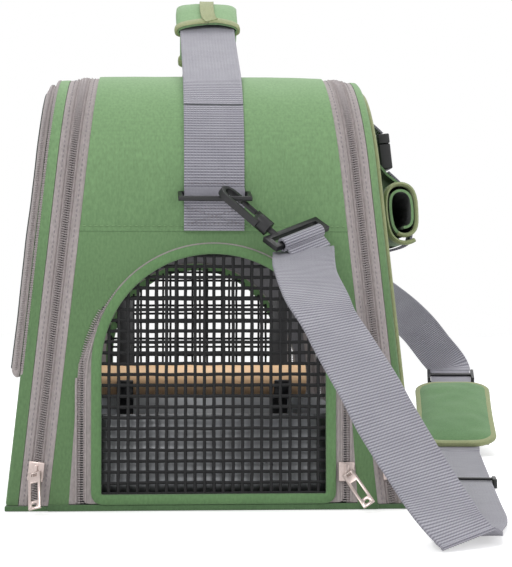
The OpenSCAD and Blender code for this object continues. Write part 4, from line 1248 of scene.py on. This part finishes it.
# The handle from its sewn end to its crown, as (distance from the middle, height), and how far the near and
# the far half lean to the right there.
HALF_HANDLE = [(roof_middle + 34, HIGH - 5, 0, 1.5), (roof_middle - 8, HIGH + 16, 0, 4),
               (76, CROWN - 26, 0, 5.5), (44, CROWN - 8, 0.5, 5)]
for end, label in ENDS:
    half_points = [(0, -end * leg_start[1], leg_start[2])]
    half_points += [(near if end < 0 else far, end * y, z) for y, z, near, far in HALF_HANDLE]
    half_points += [(2.5, -end * 0.01, CROWN)]
    strap, _ = ribbon(f"{label}_handle_webbing", half_points, (-end, 0, 0), WEB, WEB_THICK, lilac_webbing, 10,
                      0.25)
    bends(strap, "bag", "handle", (0, end * 178, 264), (0, end * 96, 311), "webbing",
          *(["handle_strap"] if end < 0 else []))

GRIP_ROUTE = [(0.1, -77, 26.6), (0.2, -61, 16.8), (0.5, -44, 8), (1.4, -22, 2.2), (2.5, 0, 0), (3.8, 22, 2.2),
              (5, 44, 8), (5.3, 61, 16.8), (5.4, 77, 26.6)]
grip_line = smooth_route([(x, y, CROWN - below) for x, y, below in GRIP_ROUTE], 8)
GRIP_WIDE, GRIP_TALL, GRIP_AROUND, GRIP_ROWS = WEB + 5.5, 10.0, 40, len(grip_line)


def grip_skin(i, a, lift=0.0, puffing=0.0):
    """A point on the grip's skin at row i and angle a. The ends of the wrap are cut to a shallow V."""
    p = grip_line[i]
    t = unit(grip_line[min(i + 1, GRIP_ROWS - 1)] - grip_line[max(i - 1, 0)])
    n = np.cross((1, 0, 0), t)
    x = (GRIP_WIDE / 2 + lift) * math.copysign(abs(math.cos(a)) ** 0.55, math.cos(a))
    z = (GRIP_TALL / 2 + lift) * math.copysign(abs(math.sin(a)) ** 0.8, math.sin(a))
    s_run = i / (GRIP_ROWS - 1)
    puff = puffing * (0.5 * math.sin(math.pi * s_run) + ripple((x * 1.5, p[1] * 0.8, z * 2), 14, 0.6, 4))
    cut = 6.5 * max(0.0, 1 - abs(x - 5) / 26) * (max(0.0, 1 - 5 * s_run) - max(0.0, 5 * s_run - 4))
    return p + np.array([x * (1 + puff * 0.02), 0, 0]) + n * (z + puff * (0.7 if z > 0 else 0.5)) + t * cut


points = [grip_skin(i, CIRCLE * k / GRIP_AROUND, 0, 1) for i in range(GRIP_ROWS) for k in range(GRIP_AROUND)]
faces = grid_faces(GRIP_ROWS, GRIP_AROUND, False, True)
grip = thicken(put_right(mesh_of("grip_wrap_cloth", points, faces, [green_cloth])), 1.6)
belongs(settle(grip), "handle", "green_fabric", "grip_wrap")
for row, beside, hand, label in ((0, 1, 1, "near"), (GRIP_ROWS - 1, GRIP_ROWS - 2, -1, "far")):
    tangent = hand * unit(grip_line[beside] - grip_line[row])
    line = [grip_skin(row, a, 0.2) + tangent * hand * 3.2 for a in np.linspace(0, CIRCLE, 56, endpoint=False)]
    outs = [unit(p - grip_line[row] - tangent * (tangent @ (p - grip_line[row]))) for p in line]
    hem = swept(f"{label}_grip_binding", line, outs, [tangent] * len(line), oval(2.6, 8.0, 8, 0.7),
                [olive_cloth])
    belongs(settle(hem), "handle", "olive_binding")
seam_line = [grip_skin(i, math.pi / 2, 0.9, 1) + np.array([4.5 * math.exp(-i / 3.0), 0, 0])
             for i in range(1, GRIP_ROWS - 1)]
closing, _ = ribbon("grip_closing_binding", seam_line, (1, 0, 0), 10.0, 1.6, olive_cloth, 2)
belongs(closing, "handle", "olive_binding")

# %% [markdown]
# The shoulder strap is the longest piece. It hangs from the hook at the near end, folds at the floor, lies
# along the ground beside the bag and climbs through a pad back to the far hook. The route repeats the
# points of the solid, so that it starts and ends in the right loops.

# %% Shoulder strap
bar_left, bar_right = np.array([37, -LONG - 36, 164.0]), np.array([69, -LONG - 14, 177.0])
bar_mid = (bar_left + bar_right) / 2
bar_across = unit(bar_right - bar_left)
PAD_LONG, PAD_WIDE = 160.0, 66.0
pad_near, pad_aim, pad_across = np.array([228.5, 210, 8.0]), unit([22, 154, 47]), (0.988, -0.156, 0)
fold_middle, fold_way = np.array([125.5, -393.4, 5.75]), unit([0.817, 0.54, 0.202])
far_start = pad_near + pad_aim * (PAD_LONG + 48.5)
# For each stretch: its route, the strap's width direction at each point, steps, wave, seed and loop.
STRETCHES = {
    "near": ([(54, -229, 162.6), (52, -262, 149.5), (57, -296, 130), (67, -312, 110), (81, -332, 83),
              (90, -344, 64), (107.5, -366, 32), (117.5, -383.5, 15), tuple(fold_middle)],
             [tuple(bar_across), (0.62, 0.72, 0.3), (0.6, 0.65, 0.45), (0.62, 0.6, 0.5), (0.68, 0.52, 0.5),
              (0.72, 0.48, 0.5), (0.78, 0.5, 0.35), (0.8, 0.52, 0.25), (0.817, 0.54, 0.2)],
             12, 0.5, 3, {"last": fold_way}, ["near_swivel_loop"]),
    "floor": ([tuple(fold_middle), (129.5, -370, 4.4), (136.4, -335, 3.4), (148.4, -290, 3.4),
               (164, -192, 3.4), (198, 21, 3.4), (222, 171, 3.8), (226, 196, 5.0), tuple(pad_near),
               tuple(pad_near + pad_aim * PAD_LONG / 2), tuple(pad_near + pad_aim * (PAD_LONG + 46))],
              pad_across, 10, 0.15, 6, {"first": fold_way}, []),
    "far": ([tuple(far_start), tuple(far_start + pad_aim * 12), (246, 428, 88), (226, 424, 112),
             (196, 392, 134), (150, 332, 158), (108, 276, 171), (80, 247, 172), (59.9, 230.7, 171.3)],
            [pad_across, (0.98, -0.17, 0.05), (0.9, -0.22, 0.35), (0.8, -0.25, 0.55), (0.75, -0.29, 0.6),
             (0.7, -0.35, 0.6), (0.7, -0.45, 0.5), (0.75, -0.5, 0.4),
             (bar_across[0], -bar_across[1], bar_across[2])], 10, 0.4, 8, {}, ["far_swivel_loop"])}
for name, (route, across, steps, wave, seed, turned, loops) in STRETCHES.items():
    strap, run = ribbon(f"shoulder_strap_{name}", route, across, WEB, WEB_THICK, lilac_webbing, steps, wave,
                        seed, **turned)
    belongs(strap, "bag", "webbing", f"strap_{name}")
    print("strap runs", name, round(run))

LOOP_RADIUS = 1.7 * 1.42 + 0.3 + WEB_THICK
for end, label, aim in ((-1, "near", (0, -0.6, -0.8)), (1, "far", (0.57, -0.82, 0))):
    mirror = np.array([1, -end, 1])
    aim = unit(aim - (aim @ bar_across) * bar_across)
    up = np.cross(bar_across, aim)
    fold = webbing_tube(
        f"{label}_strap_fold", np.linspace(-WEB / 2 + 3, WEB / 2 - 3, 12), 1.5, lambda x, a: mirror * (
            bar_mid + bar_across * x + aim * LOOP_RADIUS * math.cos(a) + up * LOOP_RADIUS * math.sin(a)))
    belongs(fold, f"{label}_swivel", "webbing")
    tab = [mirror * (bar_mid + aim * reach_out) for reach_out in (3.6, 8, 12)]
    piece, _ = ribbon(f"{label}_strap_tab", tab, mirror * bar_across, WEB - 8, WEB_THICK, lilac_webbing, 4)
    belongs(piece, "bag", "webbing")

FOLD_ROWS, FOLD_AROUND, FOLD_RADIUS = 20, 12, 1.2
edge_up = unit(np.cross(fold_way, (0.39, -0.7, -0.6)))
edge_out = np.cross(fold_way, edge_up)
angles = np.linspace(0, CIRCLE, FOLD_AROUND, endpoint=False)
loop = [fold_middle + fold_way * x + edge_up * FOLD_RADIUS * math.cos(a)
        + edge_out * FOLD_RADIUS * math.sin(a) for x in np.linspace(-WEB / 2, WEB / 2, FOLD_ROWS) for a in angles]
chart = [(WEB * (i // FOLD_AROUND) / (FOLD_ROWS - 1), 0.7 * (i % FOLD_AROUND)) for i in range(len(loop))]
faces = grid_faces(FOLD_ROWS, FOLD_AROUND, False, True) + tube_caps(FOLD_ROWS, FOLD_AROUND)
corner_fold = put_right(mesh_of("shoulder_strap_fold", loop, faces, [lilac_webbing], chart))
belongs(corner_fold, "bag", "webbing")

# %% [markdown]
# The shoulder pad is stuffed. Its top is a crowned form whose sides pull in between its corners, its
# underside is flat where it meets the strap, and an olive tape is bound round the edge. The crown, the
# puckers and the hollow next to the binding are written as heights on a grid, which keeps them exact.

# %% Shoulder pad
pad_side = unit(np.array(pad_across) - (np.array(pad_across) @ pad_aim) * pad_aim)
pad_up = np.cross(pad_side, pad_aim)
PAD_CORNER, PAD_UNDER, PAD_CROWN, PAD_EDGE = 22.0, 1.2, 7.0, 2.4


def pad_place(x, y, z):
    return pad_near + pad_side * x + pad_aim * y + pad_up * z


def pad_half(s):
    """Half of the pad's width at s, from 0 at one end to 1 at the other."""
    d, r = min(s, 1 - s) * PAD_LONG, PAD_CORNER
    corner = r - math.sqrt(max(0.0, r * r - (r - d) ** 2)) if d < r else 0.0
    return PAD_WIDE / 2 - corner - 1.2 * math.sin(math.pi * s)


rows = [0.002 + 0.996 * (1 - math.cos(math.pi * i / 46)) / 2 for i in range(47)]
across = [math.sin((2 * j / 32 - 1) * math.pi / 2) for j in range(33)]
columns = len(across)
top, low = [], []
for s in rows:
    for u in across:
        x, y = u * pad_half(s), s * PAD_LONG
        end_slope = abs(2 * s - 1)
        crown = PAD_CROWN * (1 - u ** 4) * (1 - end_slope ** 6)
        pucker = ripple((x, y, 1), 17, 1.3, 7) + ripple((x, y, 2), 7, 0.45, 9)
        pucker *= (1 - u ** 6) * (1 - end_slope ** 8)
        top.append(pad_place(x, y, PAD_UNDER + PAD_EDGE + crown + pucker))
        low.append(pad_place(x, y, PAD_UNDER))
count, last = len(top), len(rows) - 1
faces = grid_faces(len(rows), columns)
faces += [tuple(count + v for v in reversed(quad)) for quad in faces]
edge = list(range(columns)) + [r * columns + columns - 1 for r in range(1, last + 1)]
edge += [last * columns + j for j in range(columns - 2, -1, -1)]
edge += [r * columns for r in range(last - 1, 0, -1)]
faces += [(a, b, count + b, count + a) for a, b in zip(edge, edge[1:] + edge[:1])]
pad = put_right(mesh_of("shoulder_pad_cushion", top + low, faces, [pad_cloth]))
belongs(settle(pad), "pad", "green_fabric", "shoulder_pad")

outline = [(-pad_half(s), s * PAD_LONG) for s in rows] + [(pad_half(s), s * PAD_LONG) for s in reversed(rows)]
outline = spread(outline, 170)
edge_line, edge_outs = [], []
for i, (x, y) in enumerate(outline):
    t = unit(outline[(i + 1) % len(outline)] - outline[i - 1])
    edge_line.append(pad_place(x + t[1] * 1.5, y - t[0] * 1.5, 2.6))
    edge_outs.append(pad_side * -t[1] + pad_aim * t[0])
binding = swept("shoulder_pad_binding", edge_line, edge_outs, [pad_up] * len(outline),
                oval(8.0, 5.2, 12, 0.75), [olive_cloth])
belongs(settle(binding), "pad", "olive_binding")
rounded("pad_backing", "shoulder_pad_backing", "pad", black_cloth, 0.4, slot="black_plastic")
